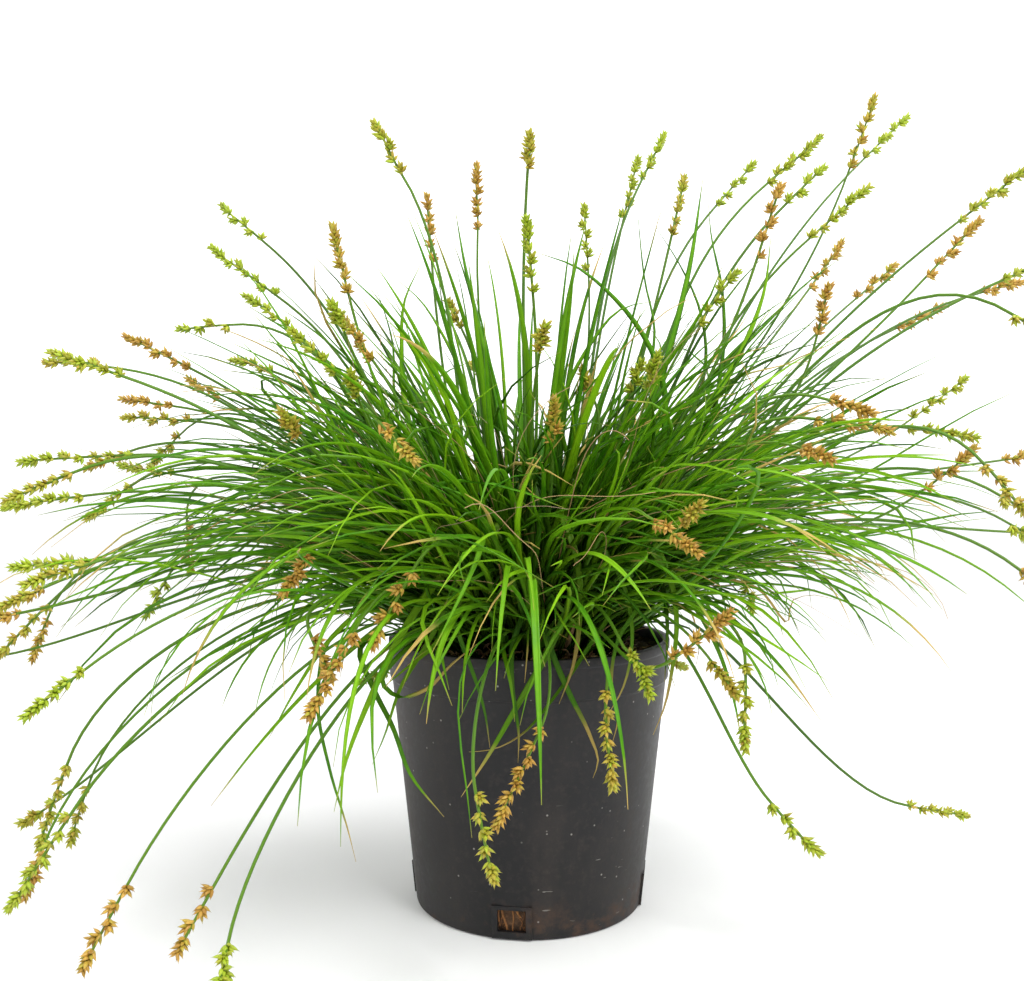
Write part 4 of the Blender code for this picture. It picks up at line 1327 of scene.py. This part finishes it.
def soilHeight(x, y):
    bump = smoothNoise(x, y, 55, 1) + 0.7 * smoothNoise(x, y, 130, 2)
    bump = bump + 0.5 * smoothNoise(x, y, 330, 3)
    radius = np.hypot(x, y) / clump["rimRadius"]
    heap = soil["heap"] * np.clip((radius - 0.5) / 0.35, 0, 1)
    return clump["soilTop"] + soil["relief"] * bump * 1.6 + 3 * mm * (1 - radius) + heap


def makeSoil():
    # Rings from the middle to the wall over the relief, then down the wall and in underneath
    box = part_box("soil")
    outer = box[1][0] - 0.1 * mm
    low = box[0][2] + 0.2 * mm
    rings, sides = soil["grid"]
    a = circle(sides)
    top = polar(outer * np.linspace(0.02, 1, rings)[:, None], a, 0.0)
    top[..., 2] = soilHeight(top[..., 0], top[..., 1])
    t = np.linspace(0, 1, soil["wallRings"] + 1)[1:, None]
    dents = 1 - 0.006 * np.abs(smoothNoise(a * 3, t * 9, 2, 5))
    wall = polar((outer - soil["narrowing"] * t) * dents, a, soil["wallTop"] + (low - soil["wallTop"]) * t)
    ends = [[0, 0, soilHeight(0.0, 0.0)], [0, 0, low]]
    points = np.concatenate([top.reshape(-1, 3), wall.reshape(-1, 3), ends])
    quads, tris = tubeFaces(1, len(top) + len(wall), sides)
    piece = putMesh("soil_fill", points, quads[:, ::-1], tris[:, ::-1], soilMaterial)
    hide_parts("soil")


def makeCrumbs(rng):
    # Small uneven lumps half sunk in the top: a coarse ball whose corners are moved in or out
    n = soil["crumbs"]
    radius = keepOff["soilEdge"] * np.sqrt(rng.random(n))
    centres = polar(radius, rng.uniform(0, 2 * math.pi, n), 0.0)
    size = rng.uniform(*soil["crumbSize"], n)
    rings, sides = soil["crumbGrid"]
    s = np.linspace(0.15, 0.85, rings)[:, None] * math.pi
    ball = polar(np.sin(s), circle(sides), -np.cos(s)).reshape(-1, 3)
    ball = np.concatenate([ball, [[0, 0, -1], [0, 0, 1]]])
    rough = 1 + rng.normal(0, 0.16, (n, len(ball), 1))
    stretch = rng.uniform(0.6, 1.3, (n, 1, 3))
    centres[:, 2] = soilHeight(centres[:, 0], centres[:, 1]) + size * 0.1
    points = centres[:, None] + ball[None] * rough * stretch * size[:, None, None] * 0.8
    quads, tris = tubeFaces(n, rings, sides)
    putMesh("soil_crumbs", points, quads, tris, soilMaterial)


def makeFibres(rng):
    # Fibres and bits of straw lying on the top
    n = soil["fibres"]
    spot = rng.uniform(0, 2 * math.pi, n)
    radius = rng.uniform(*soil["fibreRing"], n)
    length = rng.uniform(*soil["fibreLength"], n)
    heading = rng.uniform(0, 6.28, n)
    paths = arcs(soil["fibreStations"], spot, radius, heading, clump["soilTop"], length,
                 rng.uniform(1.2, 1.75, n), rng.uniform(-0.5, 0.6, n), rng.normal(0, 1.0, n),
                 rng.normal(0, 0.4, n))
    r = np.hypot(paths[..., 0], paths[..., 1])
    paths = paths[(r < 83 * mm).all(axis=1)]
    n = len(paths)
    lift = soilHeight(paths[..., 0], paths[..., 1]) + rng.uniform(0.2 * mm, 3.2 * mm, n)[:, None]
    paths[..., 2] = np.maximum(lift, paths[..., 2] * 0.35 + lift * 0.65)
    radii = rng.uniform(*soil["fibreRadius"], n)[:, None] * np.ones((1, soil["fibreStations"]))
    cordMesh("soil_fibres", paths, radii, soil["fibreSides"], 0.3 + 0.7 * rng.random(n), rng, strawMaterial)


makeSoil()
soilDraws = np.random.default_rng(soil["seed"])
makeCrumbs(soilDraws)
makeFibres(soilDraws)
print("soil ready")


# Pot: a turned shell with a collar, and square drain holes in raised frames
pot = {
    "height": 170 * mm,
    "rim": 90 * mm,
    "base": 73 * mm,
    "wall": 1.8 * mm,
    "floor": 2.4 * mm,
    "foot": 1.6 * mm,           # how far the underside's edge is drawn in
    "collar": 25 * mm,
    "collarProud": 1.6 * mm,
    "lip": 5 * mm,
    "lipProud": 0.8 * mm,
    "rounding": 0.9 * mm,
    "roundingSteps": 3,
    "sides": 160,
    "holes": 4,
    "holeTurn": math.radians(-98.7),
    "holeWidth": 17 * mm,
    "holeLow": 5.5 * mm,
    "holeHigh": 19 * mm,
    "frameWidth": 24 * mm,
    "frameLow": 1.2 * mm,
    "frameHigh": 21.6 * mm,
    "frameProud": 0.45 * mm,
    "frameRoot": 1.3 * mm,
    "floorHoles": 6,
    "floorHoleRadius": 5 * mm,
    "floorHoleRing": 46 * mm,
    "sharpFrom": math.radians(38),
}
holeTurns = [pot["holeTurn"] + i * 2 * math.pi / pot["holes"] for i in range(pot["holes"])]


def wallRadius(z):
    widening = pot["rim"] - pot["collarProud"] - pot["base"]
    return pot["base"] + widening * z / (pot["height"] - pot["collar"])


def softened(profile):
    # Rounds the inner corners of a profile with short parabolas
    out = [profile[0]]
    for before, corner, after in zip(profile, profile[1:], profile[2:]):
        a, b, c = np.array(before), np.array(corner), np.array(after)
        back, ahead = np.linalg.norm(a - b), np.linalg.norm(c - b)
        reach = min(pot["rounding"], back * 0.45, ahead * 0.45)
        first = b + (a - b) / back * reach
        last = b + (c - b) / ahead * reach
        for t in np.linspace(0, 1, pot["roundingSteps"]):
            out.append(tuple(first * (1 - t) ** 2 + b * 2 * t * (1 - t) + last * t ** 2))
    out.append(profile[-1])
    return out


def boxAt(size, turn, radius, low, high, tilt):
    # A box that stands across a radius of the pot, between two heights
    place = (radius * math.cos(turn), radius * math.sin(turn), (low + high) / 2)
    bpy.ops.mesh.primitive_cube_add(size=1.0, location=place, rotation=(0, tilt, turn))
    box = bpy.context.object
    box.scale = (*size, high - low)
    return box


def cutWith(piece, cutter, operation):
    mod = piece.modifiers.new(operation.lower(), "BOOLEAN")
    mod.operation = operation
    mod.object = cutter
    bpy.context.view_layer.objects.active = piece
    piece.select_set(True)
    bpy.ops.object.modifier_apply(modifier=mod.name)
    bpy.data.objects.remove(cutter, do_unlink=True)


def makePot():
    h, lipLow, collarLow = pot["height"], pot["height"] - pot["lip"], pot["height"] - pot["collar"]
    rimIn = pot["rim"] - pot["wall"] - pot["collarProud"]
    lipOut = pot["rim"] + pot["lipProud"]
    profile = [
        (0.4 * mm, pot["floor"]), (wallRadius(pot["floor"]) - pot["wall"], pot["floor"]),
        (wallRadius(collarLow) - pot["wall"], collarLow), (rimIn, lipLow), (rimIn, h), (lipOut, h),
        (lipOut, lipLow), (pot["rim"], lipLow - pot["lipProud"]),
        (wallRadius(collarLow) + pot["collarProud"], collarLow + 1.0 * mm),
        (wallRadius(collarLow) + 0.1 * mm, collarLow), (wallRadius(60 * mm), 60 * mm),
        (wallRadius(1.0 * mm), 1.0 * mm), (pot["base"] - pot["foot"], 0.0), (0.4 * mm, 0.0),
    ]
    profile = np.array(softened(profile))
    grid = polar(profile[:, :1], circle(pot["sides"]), profile[:, 1:])
    points = np.concatenate([grid.reshape(-1, 3), [[0, 0, pot["floor"]], [0, 0, 0]]])
    quads, tris = tubeFaces(1, len(profile), pot["sides"])
    piece = putMesh("pot_shell", points, quads[:, ::-1], tris[:, ::-1], potMaterial)
    slope = math.atan(wallRadius(1) - wallRadius(0))
    proud, root = pot["frameProud"], pot["frameRoot"]
    middle = wallRadius(11 * mm) + (proud - root) / 2
    for turn in holeTurns:
        across = (proud + root, pot["frameWidth"])
        frameBox = boxAt(across, turn, middle, pot["frameLow"], pot["frameHigh"], slope)
        cutWith(piece, frameBox, "UNION")
    for turn in holeTurns:
        hole = boxAt((16 * mm, pot["holeWidth"]), turn, wallRadius(0), pot["holeLow"], pot["holeHigh"], 0.0)
        cutWith(piece, hole, "DIFFERENCE")
    for i in range(pot["floorHoles"]):
        turn = pot["holeTurn"] + (i + 0.5) * 2 * math.pi / pot["floorHoles"]
        x, y = pot["floorHoleRing"] * math.cos(turn), pot["floorHoleRing"] * math.sin(turn)
        bpy.ops.mesh.primitive_cylinder_add(vertices=32, radius=pot["floorHoleRadius"],
                                            depth=4 * pot["floor"], location=(x, y, pot["floor"] / 2))
        cutWith(piece, bpy.context.object, "DIFFERENCE")
    piece.data.set_sharp_from_angle(angle=pot["sharpFrom"])
    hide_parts("pot")


makePot()


# Roots that show in the drain holes, a loose mat just behind each opening
mat = {
    "seed": 71,
    "roots": 30,
    "stations": 12,
    "sides": 6,
    "radius": (0.25 * mm, 0.8 * mm),
    "side": 9.5 * mm,           # to either side of the opening's middle
    "low": (3.5 * mm, 9 * mm),
    "high": (14 * mm, 22 * mm),
    "behind": (2.6 * mm, 5.0 * mm),
}


def makeRoots():
    rng = np.random.default_rng(mat["seed"])
    n = mat["roots"]
    s = np.linspace(0, 1, mat["stations"])
    lines = []
    for turn in holeTurns:
        start = rng.uniform(-9 * mm, 9 * mm, n)[:, None]
        end = start + rng.normal(0, 3.2 * mm, n)[:, None]
        sway = rng.normal(0, 1.6 * mm, n)[:, None] * np.sin(s * 6 + rng.uniform(0, 6, n)[:, None])
        low = rng.uniform(*mat["low"], n)[:, None]
        high = rng.uniform(*mat["high"], n)[:, None]
        sideways = np.clip(start * (1 - s) + end * s + sway, -mat["side"], mat["side"])
        z = low * (1 - s) + high * s
        depth = wallRadius(0) - rng.uniform(*mat["behind"], n)[:, None] + z * 0.11
        depth = depth + rng.normal(0, 0.35 * mm, n)[:, None] * np.sin(s * 5)
        x = depth * math.cos(turn) - sideways * math.sin(turn)
        y = depth * math.sin(turn) + sideways * math.cos(turn)
        lines.append(np.stack([x, y, z], -1))
    paths = np.concatenate(lines)
    n = len(paths)
    radii = rng.uniform(*mat["radius"], n)[:, None] * np.ones((1, mat["stations"]))
    cordMesh("roots", paths, radii, mat["sides"], rng.random(n) * 0.45, rng, rootMaterial)


makeRoots()
print("pot ready")


# Floor and light: a pale floor that curves up all round, and plain soft studio light
studio = {
    "flat": 2.3,
    "curve": 1.1,
    "height": 2.6,
    "middle": 0.6,
    "curveRings": 20,
    "sides": 96,
    "world": 0.62,
}
# Each lamp: its place, the height it looks at, its size and its power
lamps = {
    "key": ((0.8, -1.0, 1.6), 0.25, 0.7, 34),
    "fill": ((-1.4, -0.9, 0.8), 0.2, 1.0, 7),
    "top": ((0.1, 0.2, 1.9), 0.2, 0.8, 18),
}


def makeFloor():
    # A turned sweep: flat, a quarter circle, then upright, the same from every side
    turn = np.linspace(0, math.pi / 2, studio["curveRings"])
    bend = studio["flat"] + studio["curve"] * np.sin(turn)
    radius = np.concatenate([[studio["middle"]], bend, [studio["flat"] + studio["curve"]]])
    z = np.concatenate([[0], studio["curve"] * (1 - np.cos(turn)), [studio["height"]]])
    sides = studio["sides"]
    grid = polar(radius[:, None], circle(sides), z[:, None]).reshape(-1, 3)
    r, k = np.meshgrid(np.arange(len(z) - 1), np.arange(sides), indexing="ij")
    after = (k + 1) % sides
    low, high = r * sides, (r + 1) * sides
    quads = np.stack([low + k, high + k, high + after, low + after], -1)
    faces = quads.reshape(-1, 4).tolist() + [list(range(sides))]
    mesh = bpy.data.meshes.new("studio_floor")
    mesh.from_pydata(grid.tolist(), [], faces)
    mesh.polygons.foreach_set("use_smooth", np.ones(len(faces), dtype=bool))
    obj = bpy.data.objects.new("studio_floor", mesh)
    bpy.context.scene.collection.objects.link(obj)
    mesh.materials.append(makeFloorMaterial())


def softbox(name, place, height, size, power):
    data = bpy.data.lights.new(name, "AREA")
    data.shape = "SQUARE"
    data.size = size
    data.energy = power
    obj = bpy.data.objects.new(name, data)
    bpy.context.scene.collection.objects.link(obj)
    obj.location = place
    look = Vector((0, 0, height)) - Vector(place)
    obj.rotation_euler = look.to_track_quat("-Z", "Y").to_euler()


def makeLight():
    world = bpy.data.worlds.new("studio")
    bpy.context.scene.world = world
    world.use_nodes = True
    background = world.node_tree.nodes["Background"]
    background.inputs["Color"].default_value = (1.0, 1.0, 1.0, 1.0)
    background.inputs["Strength"].default_value = studio["world"]
    for name, lamp in lamps.items():
        softbox(name, *lamp)


makeFloor()
makeLight()
bpy.context.scene.view_settings.view_transform = "Standard"
